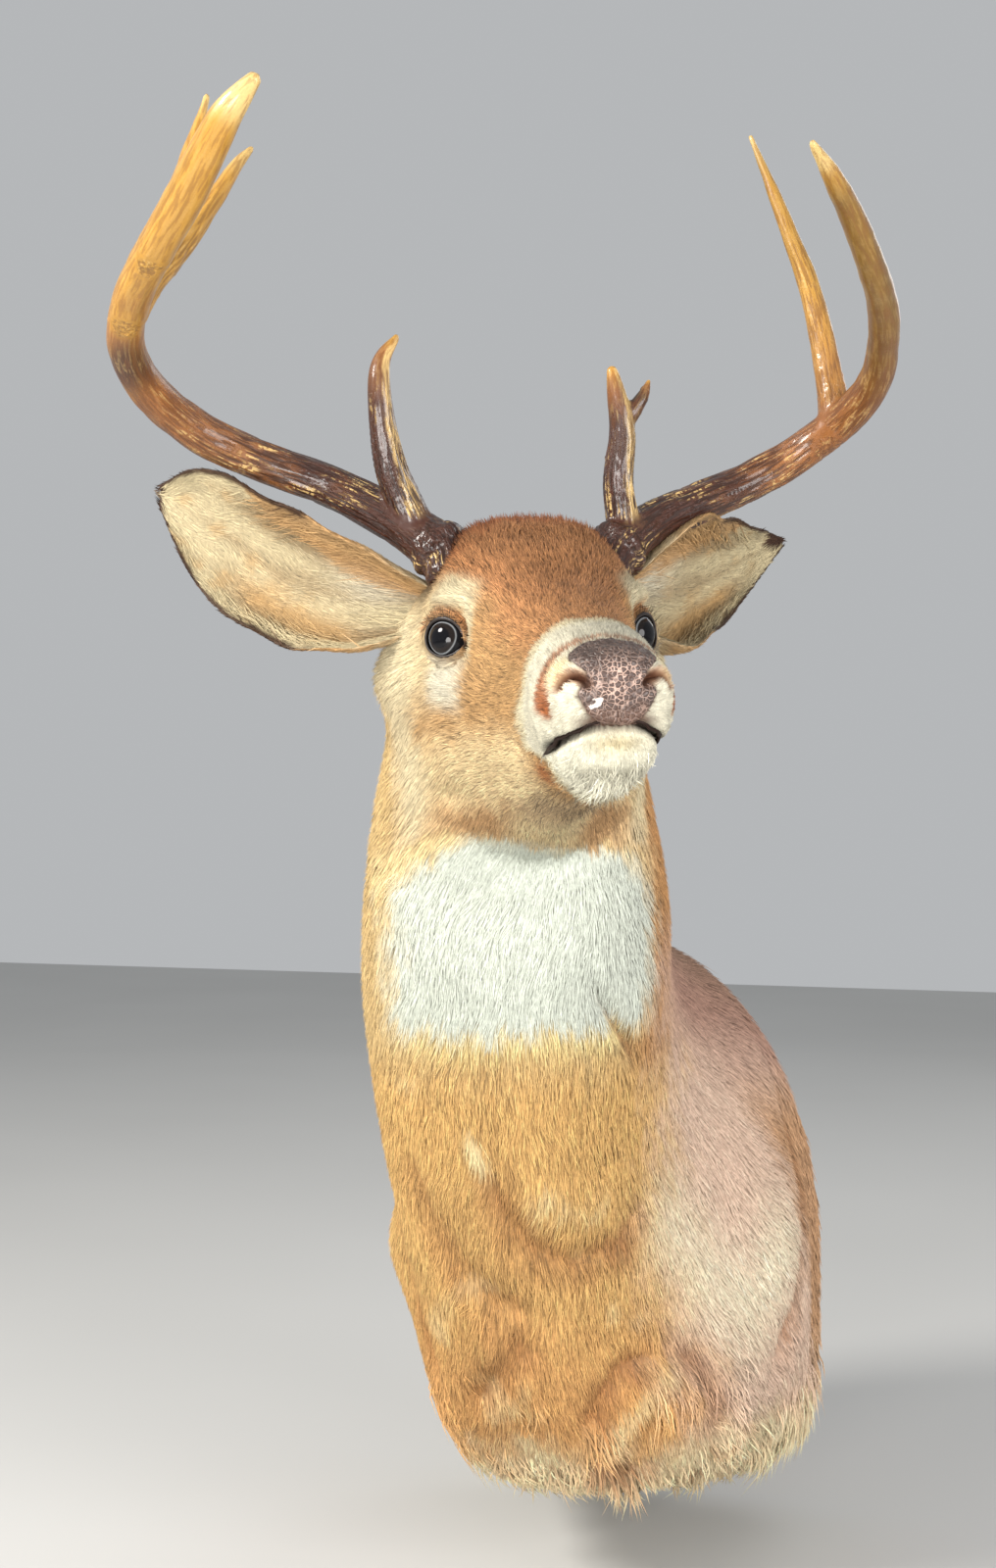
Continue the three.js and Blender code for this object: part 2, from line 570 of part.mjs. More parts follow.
const trunkBlank = coatSolid(spread(NECK_END + PARTING, TRUNK_END, TRUNK_ROWS), BODY_COLUMNS);
solids.trunk = cut(trunkBlank, boardSolid(GAP));
for (const side of ['left', 'right']) {
  solids[`ear_${side}`] = ears[side];
  solids[`eye_${side}`] = eyeSolid(side === 'left' ? 1 : -1);
  for (const [name, solid] of Object.entries(antlers[side])) {
    solids[`antler_${side}_${name}`] = solid;
  }
}
const keyhole = new THREE.CylinderGeometry(
  KEYHOLE_POCKET.radius, KEYHOLE_POCKET.radius, KEYHOLE_POCKET.depth, 16);
keyhole.translate(0, -KEYHOLE_POCKET.depth / 2, HANGER.z);
const shanks = screwPlaces.map((x) => screwSolid(x, GAP));
solids.backboard = cut(board, hangerSolid(GAP), toSolid(keyhole), ...shanks);
solids.hanger = cut(hangerSolid(), ...shanks);
screwPlaces.forEach((x, i) => {
  solids[`hanger_screw_${i + 1}`] = screwSolid(x);
});

/** The material of a node, by the first word group that its name starts with. */
const MATERIALS = [
  ['antler', new THREE.MeshStandardMaterial({ color: 0x9a6a38, roughness: 0.4, metalness: 0 })],
  ['eye', new THREE.MeshStandardMaterial({ color: 0x120c0a, roughness: 0.05, metalness: 0 })],
  ['ear', new THREE.MeshStandardMaterial({ color: 0xcdb48c, roughness: 0.95, metalness: 0 })],
  ['nose', new THREE.MeshStandardMaterial({ color: 0x4a3a35, roughness: 0.45, metalness: 0 })],
  ['lower_jaw', new THREE.MeshStandardMaterial({ color: 0xe4dac4, roughness: 0.95, metalness: 0 })],
  ['head', new THREE.MeshStandardMaterial({ color: 0xb98a5a, roughness: 0.95, metalness: 0 })],
  ['neck', new THREE.MeshStandardMaterial({ color: 0xc89a66, roughness: 0.95, metalness: 0 })],
  ['trunk', new THREE.MeshStandardMaterial({ color: 0xb48a5e, roughness: 0.95, metalness: 0 })],
  ['backboard', new THREE.MeshStandardMaterial({ color: 0x8a6236, roughness: 0.7, metalness: 0 })],
  ['hanger', new THREE.MeshStandardMaterial({ color: 0x9c9c98, roughness: 0.35, metalness: 1 })],
];

const mount = new THREE.Group();
mount.name = 'deer_shoulder_mount';
for (const [name, solid] of Object.entries(solids)) {
  const material = MATERIALS.find(([start]) => name.startsWith(start))[1];
  const mesh = new THREE.Mesh(toGeometry(solid), material);
  mesh.name = name;
  mount.add(mesh);
}

export default mount;
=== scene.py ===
"""A white-tailed deer shoulder mount, dressed with its skin, coat, eyes, nose, antlers and board."""
import json
import bpy
import numpy as np
from mathutils import Vector
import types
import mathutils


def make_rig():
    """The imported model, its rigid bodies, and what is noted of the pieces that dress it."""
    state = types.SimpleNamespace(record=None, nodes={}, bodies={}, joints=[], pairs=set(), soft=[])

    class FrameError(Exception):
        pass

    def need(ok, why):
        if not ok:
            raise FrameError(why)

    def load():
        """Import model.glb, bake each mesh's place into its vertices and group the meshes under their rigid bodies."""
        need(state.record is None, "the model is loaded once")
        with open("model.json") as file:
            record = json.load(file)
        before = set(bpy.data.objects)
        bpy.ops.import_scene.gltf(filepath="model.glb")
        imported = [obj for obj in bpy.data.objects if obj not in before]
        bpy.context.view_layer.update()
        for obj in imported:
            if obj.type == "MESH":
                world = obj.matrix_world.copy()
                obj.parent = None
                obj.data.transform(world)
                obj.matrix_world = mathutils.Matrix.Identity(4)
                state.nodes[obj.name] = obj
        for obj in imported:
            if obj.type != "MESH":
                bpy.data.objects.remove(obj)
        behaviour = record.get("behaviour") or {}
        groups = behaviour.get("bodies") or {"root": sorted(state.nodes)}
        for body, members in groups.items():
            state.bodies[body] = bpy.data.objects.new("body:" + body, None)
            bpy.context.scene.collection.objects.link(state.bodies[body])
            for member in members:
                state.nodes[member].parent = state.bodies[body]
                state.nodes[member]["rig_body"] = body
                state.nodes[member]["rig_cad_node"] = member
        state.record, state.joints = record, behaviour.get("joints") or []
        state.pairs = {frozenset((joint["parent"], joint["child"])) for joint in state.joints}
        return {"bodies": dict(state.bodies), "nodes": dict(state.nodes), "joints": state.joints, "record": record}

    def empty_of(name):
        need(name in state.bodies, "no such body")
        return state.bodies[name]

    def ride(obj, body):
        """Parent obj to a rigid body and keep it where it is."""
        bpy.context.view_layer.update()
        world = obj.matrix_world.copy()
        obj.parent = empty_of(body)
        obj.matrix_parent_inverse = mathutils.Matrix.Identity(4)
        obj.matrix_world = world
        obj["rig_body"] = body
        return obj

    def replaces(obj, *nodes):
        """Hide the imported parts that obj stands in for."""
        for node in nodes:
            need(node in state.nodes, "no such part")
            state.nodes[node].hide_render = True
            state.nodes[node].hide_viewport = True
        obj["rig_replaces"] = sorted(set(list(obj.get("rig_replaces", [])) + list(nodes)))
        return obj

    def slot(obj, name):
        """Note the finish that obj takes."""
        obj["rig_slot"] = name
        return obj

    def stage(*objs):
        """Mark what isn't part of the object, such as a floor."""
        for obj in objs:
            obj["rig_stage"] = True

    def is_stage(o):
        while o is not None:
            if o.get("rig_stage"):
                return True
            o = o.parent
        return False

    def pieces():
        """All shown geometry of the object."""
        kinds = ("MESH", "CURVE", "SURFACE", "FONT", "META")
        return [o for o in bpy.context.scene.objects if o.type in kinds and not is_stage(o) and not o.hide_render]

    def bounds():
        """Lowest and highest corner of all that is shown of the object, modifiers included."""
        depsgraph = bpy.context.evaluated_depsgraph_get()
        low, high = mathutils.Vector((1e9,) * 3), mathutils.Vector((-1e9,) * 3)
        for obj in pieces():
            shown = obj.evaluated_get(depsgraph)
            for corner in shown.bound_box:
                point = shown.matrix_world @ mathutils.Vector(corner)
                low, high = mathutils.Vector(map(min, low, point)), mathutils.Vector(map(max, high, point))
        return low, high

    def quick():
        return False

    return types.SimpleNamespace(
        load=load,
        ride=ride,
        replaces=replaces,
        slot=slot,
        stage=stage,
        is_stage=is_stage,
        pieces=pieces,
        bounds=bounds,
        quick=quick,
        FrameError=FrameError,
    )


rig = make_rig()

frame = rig.load()
cad_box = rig.bounds()

# ------------------------------------------------------------------ the form and its skin
# The tanned hide is glued over a carved form, so one skin runs from the nose to the board. It is
# a loft: cross sections follow one another from the nose over the head, round the throat and into
# the trunk. Sizes are millimetres here and metres in the meshes.

MM = 0.001
HEAD_AT = np.array([105.0, -460.0, 389.0])            # middle of the line between the eyes
HEAD_TURN, HEAD_PITCH, HEAD_ROLL = np.radians([29.5, -2.4, -2.3])
# Head: top [forward, up], bottom [forward, up], half width, belt height, fullness above, below.
HEAD_SECTIONS = [
    (159, -14, 147, -82, 27, 0.62, 2.3, 2.0), (149, -9, 139, -88, 30, 0.62, 2.4, 1.9),
    (130, -1, 122, -89, 32, 0.6, 2.5, 1.85), (104, 6, 100, -90, 33, 0.56, 2.5, 1.85),
    (78, 14, 76, -93, 36, 0.52, 2.5, 1.85), (50, 27, 50, -97, 41, 0.52, 2.5, 1.9),
    (26, 41, 28, -102, 48, 0.56, 2.6, 1.9), (2, 54, 6, -108, 54, 0.6, 2.7, 1.9),
    (-24, 65, -14, -115, 60, 0.59, 2.8, 1.95), (-54, 71, -30, -123, 65, 0.52, 2.6, 2.0),
    (-86, 66, -42, -132, 73, 0.45, 2.2, 2.0),
]
NOSE_TIP = (0, 172, -38)
# Neck and trunk: nape, throat, half widths right and left, belt, fullness above, right, left.
BODY_SECTIONS = [
    (47, -345, 430, 82, -418, 236, 85, 75, 0.45, 2, 2, 2),
    (36, -292, 380, 70, -424, 190, 94, 87, 0.47, 2, 2, 2),
    (22, -222, 325, 52, -408, 118, 101, 101, 0.48, 2, 2, 2),
    (10, -145, 278, 33, -376, 36, 98, 104, 0.48, 2, 2, 2),
    (3, -82, 243, 18, -340, -44, 90, 112, 0.47, 2, 1.9, 2.1),
    (1, -50, 225, 8, -306, -104, 91, 130, 0.46, 2, 1.8, 2.3),
    (0, -30, 215, 4, -250, -155, 106, 152, 0.44, 2, 1.7, 3),
    (0, -15, 209, 2, -150, -184, 138, 168, 0.42, 2.1, 1.7, 4.2),
    (0, -2, 205, 0, -2, -205, 162, 177, 0.4, 2.1, 1.9, 5.5),
]
HEAD_END = len(HEAD_SECTIONS) - 1
TRUNK_END = len(HEAD_SECTIONS) + len(BODY_SECTIONS) - 1
TWIST_SECTIONS = 5
# Swellings and hollows: centre, radii, direction and height. The head's act on both sides.
HEAD_SWELLS = [
    ((56, 4, 0), (18, 17, 15), (0.9, 0.5, 0), -9), ((52, -6, 21), (14, 24, 9), (1, 0.2, 0.3), 8),
    ((50, -8, -22), (14, 30, 10), (1, 0, 0), 5), ((46, -40, -50), (24, 40, 36), (1, 0, -0.1), 9),
    ((44, 32, -14), (12, 14, 10), (1, 0, 0), -4), ((34, 78, -38), (16, 34, 20), (1, 0, 0), -3),
    ((30, 138, -44), (16, 24, 18), (1, 0.2, 0), 4), ((22, 158, -28), (12, 12, 14), (0.8, 0.6, 0), 3),
    ((0, 35, 40), (26, 22, 20), (0, 0, 1), -3), ((0, 146, -62), (40, 20, 5), (0, 1, 0), -3),
    ((70, -74, -10), (34, 28, 32), (1, -0.2, -0.1), 18),
]
TRUNK_SWELLS = [
    ((150, -95, -40), (60, 70, 110), (1, -0.25, 0), 12),
    ((-140, -80, -40), (50, 60, 90), (-1, -0.2, 0), 4),
    ((-90, -230, 0), (50, 70, 40), (-1, -0.2, -0.2), 15),
    ((160, -28, -60), (60, 12, 200), (1, 0, 0), -6),
]


def unit(v):
    """Vectors scaled to length one, along the last axis."""
    v = np.asarray(v, float)
    return v / np.maximum(np.linalg.norm(v, axis=-1, keepdims=True), 1e-9)


def bell(x, width, power=2):
    """1 where x is 0, falling off on both sides: exp(-(x / width)^power)."""
    return np.exp(-(x / width) ** power)


def spot(p, at, size, power=4):
    """1 at a point, falling off round it: exp(-|(p - at) / size|^power)."""
    return bell(np.linalg.norm((p - np.array(at)) / size, axis=-1), 1, power)


def head_axes():
    """The head's left, forward and up directions as the rows of a matrix."""
    turn, pitch, roll = HEAD_TURN, HEAD_PITCH, HEAD_ROLL
    forward = np.array([np.sin(turn) * np.cos(pitch), -np.cos(turn) * np.cos(pitch), np.sin(pitch)])
    left = np.array([np.cos(turn), np.sin(turn), 0.0])
    up = np.cross(forward, left)
    return np.array([left * np.cos(roll) - up * np.sin(roll), forward,
                     up * np.cos(roll) + left * np.sin(roll)])


AXES = head_axes()


def to_head(p):
    """Points of the mount as [left, forward, up] of the head."""
    return (np.asarray(p, float) - HEAD_AT) @ AXES.T


def from_head(q):
    """Points given as [left, forward, up] of the head, in the mount's frame."""
    return HEAD_AT + np.asarray(q, float) @ AXES


def catmull_rom(table, t):
    """Value at t along the rows of a table: the cubic through four neighbours; ends run straight."""
    rows = np.asarray(table, float)
    rows = np.vstack([2 * rows[0] - rows[1], rows, 2 * rows[-1] - rows[-2]])
    i = np.clip(np.floor(t).astype(int), 0, len(rows) - 4)
    f = (t - i)[..., None]
    a, b, c, d = (rows[i + k] for k in range(4))
    return 0.5 * (2 * b + (c - a) * f + (2 * a - 5 * b + 4 * c - d) * f ** 2
                  + (3 * b - a - 3 * c + d) * f ** 3)


def section_table():
    """Each section as top, bottom, sideways direction, half right, half left, belt, fullness."""
    rows = []
    for tf, tu, bf, bu, half, belt, above, below in HEAD_SECTIONS:
        rows.append([*from_head((0, tf, tu)), *from_head((0, bf, bu)), *AXES[0],
                     half, half, belt, above, below, below])
    for i, s in enumerate(BODY_SECTIONS):
        share = min((i + 1) / TWIST_SECTIONS, 1)
        across = unit(AXES[0] * (1 - share) + np.array([1.0, 0, 0]) * share)
        rows.append([*s[:6], *across, *s[6:]])
    return np.array(rows)


SECTIONS = section_table()


def swell(p, swells, mirrored):
    """Adds unit(along) * by * exp(-|(p - at) / size|^2) for each swelling to the points."""
    side = np.where(p[..., :1] < 0, -1.0, 1.0) if mirrored else np.ones_like(p[..., :1])
    folded = p * np.concatenate([side, np.ones_like(side), np.ones_like(side)], -1)
    moved = folded.copy()
    for at, size, along, by in swells:
        near = np.exp(-(((folded - at) / size) ** 2).sum(-1, keepdims=True))
        moved += unit(along) * by * near
    moved[..., :1] *= side
    return moved


def coat_surface(t, phi):
    """Outer surface of the coat, in mm: sections follow t from the nose tip at -1, phi goes round.

    Each section is a superellipse about its belt; below t = 0 it shrinks to the nose tip."""
    s = catmull_rom(SECTIONS, np.maximum(t, 0))
    top, bottom, across = s[..., 0:3], s[..., 3:6], unit(s[..., 6:9])
    right, left, belt, above, low_right, low_left = (s[..., 9 + k, None] for k in range(6))
    middle = bottom + (top - bottom) * belt
    c, h = np.cos(phi)[..., None], np.sin(phi)[..., None]
    full = np.where(h >= 0, above, np.where(c > 0, low_left, low_right))
    reach = (np.abs(c) ** full + np.abs(h) ** full) ** (-1 / full)
    arm = np.where(h >= 0, top - middle, middle - bottom)
    point = middle + across * reach * c * np.where(c > 0, left, right) + arm * reach * h
    turn = (np.minimum(t, 0) + 1)[..., None] * np.pi / 2
    point = middle + (point - middle) * np.sin(turn) + (from_head(NOSE_TIP) - middle) * np.cos(turn)
    point = from_head(swell(to_head(point), HEAD_SWELLS, True))
    return swell(point, TRUNK_SWELLS, False)


def ramp(x, a, b):
    """Smooth step from 0 at a to 1 at b."""
    s = np.clip((x - a) / (b - a), 0, 1)
    return s * s * (3 - 2 * s)


def along_path(p, path):
    """Distance of points to a polyline, and how far along it the nearest place lies, 0 to 1."""
    path = np.asarray(path, float)
    steps = np.linalg.norm(np.diff(path, axis=0), axis=1)
    starts = np.concatenate([[0], np.cumsum(steps)])
    best = np.full(p.shape[:-1], 1e9)
    place = np.zeros(p.shape[:-1])
    for a, b, length, start in zip(path[:-1], path[1:], steps, starts):
        share = np.clip(((p - a) @ (b - a)) / length ** 2, 0, 1)
        away = np.linalg.norm(p - a - share[..., None] * (b - a), axis=-1)
        place = np.where(away < best, (start + share * length) / starts[-1], place)
        best = np.minimum(best, away)
    return best, place


def fold_left(q):
    """Head points with the right half laid over the left one."""
    return np.concatenate([np.abs(q[..., :1]), q[..., 1:]], -1)


# The eyes are glass balls set in clay. In the folded head they stand at EYE_AT and look along
# EYE_AXES[2]; EYE_AXES[0] points at the tear duct and EYE_AXES[1] up.
EYE_AT, EYE_RADIUS = np.array([48.0, -11.0, 0.0]), 16.0
GAZE = unit((0.66, 0.75, 0.04))
EYE_CORNER = unit(np.cross(GAZE, np.cross((-0.75, 0.62, -0.22), GAZE)))
EYE_AXES = np.array([EYE_CORNER, np.cross(EYE_CORNER, GAZE), GAZE])
EYE_AXES[1] *= np.sign(EYE_AXES[1, 2])
OPENING = {"half": 12.4, "above": 10.8, "below": 10.2}
OPENING_MEAN, BOWL_GAP, LID_THICK = 11, 4, 2.2
CREASE_AT, CREASE_WIDTH, CREASE_ABOVE, CREASE_BELOW = 4.2, 1.2, 1.3, 0.7
DUCT_DEPTH, DUCT_WIDTH = 2.4, 1.7
MOUTH_LINE = [(0, 169, -51), (10, 168, -51.5), (18, 163, -54.5), (25, 152, -58), (28, 132, -62),
              (29, 113, -66), (30, 92, -68), (31, 78, -66), (33, 70, -61)]
NOSTRIL = [(14.5, 171, -31.5), (17.5, 169, -28), (21.5, 167, -26.8), (25, 164, -28.5), (26.5, 162, -32)]
PAD_CENTRE = (0, 135, -30)
# Edge of the pad seen from its centre: angle above the level line, and reach.
PAD_EDGE = [(-90, 0.61), (-53, 0.62), (-33, 0.59), (-16, 0.57), (-6, 0.48), (4, 0.40), (17, 0.42),
            (23, 0.62), (28, 1.0), (35, 1.19), (57, 1.30), (73, 1.18), (90, 1.2)]
TEAR_DUCT = [(12.5, -1, 0), (17, -3, 0), (21, -7.5, 0)]  # in the eye's own axes
CHIN, CHIN_SIZE, CHIN_PRESS = (0, 152, -92), (30, 26, 20), 7
# Folds of the head: path, width, depth. Folds of the hide: the same in the mount's frame.
HEAD_FOLDS = [
    (MOUTH_LINE, 2.3, 6.5), (NOSTRIL, 2.0, 7.5),
    ([(33, 68, -60), (35, 60, -66), (34, 52, -74)], 5, 1.6),
    ([(36, 36, -80), (44, 0, -88), (52, -40, -86)], 7, 2.4),
]
HIDE_FOLDS = [
    ([(114, -392, 192), (121, -362, 168), (126, -329, 143)], 6, 10),
    ([(149, -40, 96), (157, -62, 20), (163, -100, -50), (169, -142, -96)], 9, 11),
    ([(45, -400, 96), (50, -382, 59), (62, -362, 29), (84, -334, 15), (106, -301, 23), (117, -273, 49)],
     9, 11),
    ([(-20, -380, 95), (-12, -370, 52), (9, -365, 17), (34, -355, -7), (65, -335, -21)], 12, 9),
    ([(74, -282, -109), (86, -288, -81), (99, -280, -60), (119, -255, -55)], 8, 12),
    ([(69, -268, -132), (87, -236, -148), (111, -228, -140)], 9, 13),
    ([(144, -184, -131), (143, -209, -91), (135, -228, -64), (123, -248, -51)], 9, 10),
    ([(2, -314, -88), (39, -335, -48), (63, -330, -35)], 10, 9),
    ([(-70, -290, 70), (-62, -310, 20), (-44, -300, -40), (-20, -280, -80)], 13, 9),
    ([(122, -300, 40), (126, -260, -20), (120, -240, -40)], 14, 6),
    ([(36, -392, 104), (44, -388, 70), (50, -378, 44)], 7, -4),
    ([(90, -276, -118), (104, -262, -90), (112, -250, -78)], 15, -5),
    ([(24, -345, -30), (40, -320, -70), (52, -300, -100)], 14, -4),
    ([(60, -378, 66), (86, -350, 52), (104, -316, 58)], 14, -5),
]


def pad_inside(q):
    """How far folded head points lie inside the pad's edge, in mm: (edge reach - reach) * depth."""
    depth = np.maximum(q[..., 1] - PAD_CENTRE[1], 5)
    x, y = q[..., 0] / depth, (q[..., 2] - PAD_CENTRE[2]) / depth
    angle = np.degrees(np.arctan2(y, np.maximum(x, 1e-6)))
    edge = np.interp(angle, *zip(*PAD_EDGE))
    return np.where(q[..., 1] > PAD_CENTRE[1] - 20, (edge - np.hypot(x, y)) * depth, -20.0)


def relief(p, folds):
    """Depth of folds at points, in mm: depth * exp(-(distance / width)^2), fading at a fold's ends."""
    total = np.zeros(p.shape[:-1])
    for path, width, depth in folds:
        away, place = along_path(p, path)
        total += depth * bell(away, width) * np.minimum(1, 4 * np.minimum(place, 1 - place) + 0.3)
    return total


# How deep the skin lies under the coat's surface: the nose is bare, the neck thick.
DEPTH_T, DEPTH = [-1, 1, 4, 7, 9, 11, 14, 19], [0.7, 1.2, 2.0, 2.8, 4.5, 6.5, 8, 7.5]
HEAD_ROWS, TRUNK_ROWS, HIDE_COLUMNS = 226, 90, 224
# Rows stand closer at the eyes and the muzzle, columns closer along the eyes: at, width, share.
DENSE_ROWS = [(7.0, 0.9, 1.3), (0.3, 1.3, 0.9)]
DENSE_COLUMNS = [(0.28, 0.3, 1.1), (np.pi - 0.28, 0.3, 1.1)]


def lids(q):
    """Presses the folded head's skin round the eye: a bowl under the ball and lids over its edge,
    with a crease in each lid and a groove along the tear duct."""
    x, y, h = ((q - EYE_AT) @ axis for axis in EYE_AXES)
    tall = np.where(y > 0, OPENING["above"], OPENING["below"])
    beyond = (np.hypot(x / OPENING["half"], y / tall) - 1) * OPENING_MEAN
    flat = x ** 2 + y ** 2
    bowl = np.sqrt(np.maximum(EYE_RADIUS ** 2 - flat, 9)) - BOWL_GAP
    lid = np.sqrt(np.maximum((EYE_RADIUS + LID_THICK) ** 2 - flat, 4))
    crease = bell(beyond - CREASE_AT, CREASE_WIDTH) * np.where(y > 0, CREASE_ABOVE, CREASE_BELOW)
    lid = np.maximum(lid - crease, h - 5)
    aim = bowl + (lid - bowl) * ramp(beyond, -0.7, 0.5)
    share = (1 - ramp(beyond, 2.0, 8.5)) * ramp(h, -14, -4)
    duct, _ = along_path(np.stack([x, y, 0 * x], -1), TEAR_DUCT)
    groove = DUCT_DEPTH * bell(duct, DUCT_WIDTH) * ramp(beyond, -0.5, 1) * ramp(h, -14, -4)
    return q + (share * (aim - h) - groove)[..., None] * EYE_AXES[2]


def unfold(q, like):
    """Gives folded points the side of the ones they came from."""
    side = np.where(like[..., :1] < 0, -1.0, 1.0)
    return q * np.concatenate([side, np.ones_like(side), np.ones_like(side)], -1)


def grid_normals(grid):
    """Outward unit normals of a grid closed along its second axis: rows' step x columns' step."""
    down = np.gradient(grid, axis=0)
    round_ = np.roll(grid, -1, 1) - np.roll(grid, 1, 1)
    return unit(np.cross(down, round_))


def spaced(a, b, count, dense):
    """Values from a to b whose spacing shrinks where the list `dense` of (at, width, share) says."""
    x = np.linspace(a, b, 4000)
    weight = 1 + sum(share * np.exp(-((x - at) / width) ** 2) for at, width, share in dense)
    total = np.concatenate([[0], np.cumsum((weight[1:] + weight[:-1]) / 2)])
    return np.interp(np.linspace(0, total[-1], count), total, x)


def hide_grid():
    """The skin as a grid of points, with its rows' t and columns' phi, and the grid before its
    folds: coat_surface less the skin's depth, then pushed in by the folds and the chin's hollow."""
    t = np.concatenate([spaced(-0.97, HEAD_END, HEAD_ROWS, DENSE_ROWS),
                        np.linspace(HEAD_END + 0.07, TRUNK_END, TRUNK_ROWS)])
    phi = spaced(0, 2 * np.pi, HIDE_COLUMNS + 1, DENSE_COLUMNS)[:-1]
    tt, pp = np.meshgrid(t, phi, indexing="ij")
    coat = coat_surface(tt, pp)
    normals = grid_normals(coat)
    smooth = coat - normals * np.interp(tt, DEPTH_T, DEPTH)[..., None]
    folded = fold_left(to_head(smooth))
    inwards = CHIN_PRESS * spot(folded, CHIN, CHIN_SIZE) + relief(smooth, HIDE_FOLDS)
    for path, width, depth in HEAD_FOLDS:
        inwards += depth * bell(along_path(folded, path)[0], width)
    q = to_head(smooth - normals * inwards[..., None])
    skin = from_head(unfold(lids(fold_left(q)), q))
    return t, phi, skin, smooth


ROWS_T, COLUMNS_PHI, SKIN, SMOOTH = hide_grid()
SKIN_NORMALS = grid_normals(SKIN)
LIE_DOWN = unit(np.gradient(SKIN, axis=0))

# ------------------------------------------------------------------ the coat's markings
# Short hair: red-brown over the face, cream round the eyes and behind the nose, white chin and
# throat patch, golden tan neck and chest, greyer shoulders. The skin and every tuft take their
# colour from the same few marks.

CHEEK, FOREHEAD, CROWN = (0.42, 0.25, 0.105), (0.45, 0.21, 0.087), (0.36, 0.11, 0.036)
CREAM, WHITE, RUST = (0.60, 0.53, 0.35), (0.66, 0.63, 0.50), (0.30, 0.085, 0.018)
TEMPLE, JAW, JAW_EDGE = (0.68, 0.54, 0.32), (0.72, 0.54, 0.30), (0.42, 0.22, 0.09)
THROAT, BLACK, PAD_BROWN = (0.46, 0.32, 0.18), (0.008, 0.005, 0.004), (0.10, 0.05, 0.035)
NECK, NECK_LEFT_SHADE, NAPE = (0.59, 0.415, 0.19), (0.46, 0.24, 0.095), (0.24, 0.155, 0.095)
CHEST, CHEST_LOW, LIGHT = (0.70, 0.42, 0.155), (0.63, 0.325, 0.12), (0.84, 0.67, 0.37)
SHOULDER, SHOULDER_TOP, SHOULDER_SHEEN = (0.74, 0.53, 0.40), (0.44, 0.26, 0.195), (0.94, 0.79, 0.57)
FOLD_SHADE, BIB_RIM = (0.30, 0.125, 0.045), (0.80, 0.62, 0.26)
NOSTRIL_RED, CHIN_WHITE, CHIN_STAIN = (0.10, 0.030, 0.014), (0.80, 0.78, 0.62), (0.62, 0.45, 0.16)
BACK_STRIP, FRINGE, BIB = (0.50, 0.275, 0.13), (0.94, 0.74, 0.46), (0.62, 0.66, 0.57)


def waves(p, size, seed):
    """Soft noise of about -1 to 1 over points: a sum of eight turned sine waves of that size."""
    draw = np.random.default_rng(seed)
    total = np.zeros(p.shape[:-1])
    for _ in range(8):
        way = unit(draw.normal(size=3)) * 2 * np.pi / (size * draw.uniform(0.7, 1.6))
        total += np.sin(p @ way + draw.uniform(0, 2 * np.pi))
    return total / 4


def brush(colour):
    """A function that moves the colours towards a tone by a mask of 0 to 1."""
    def lay(tone, mask):
        colour[...] += (np.array(tone) - colour) * np.clip(mask, 0, 1)[..., None]
    return lay


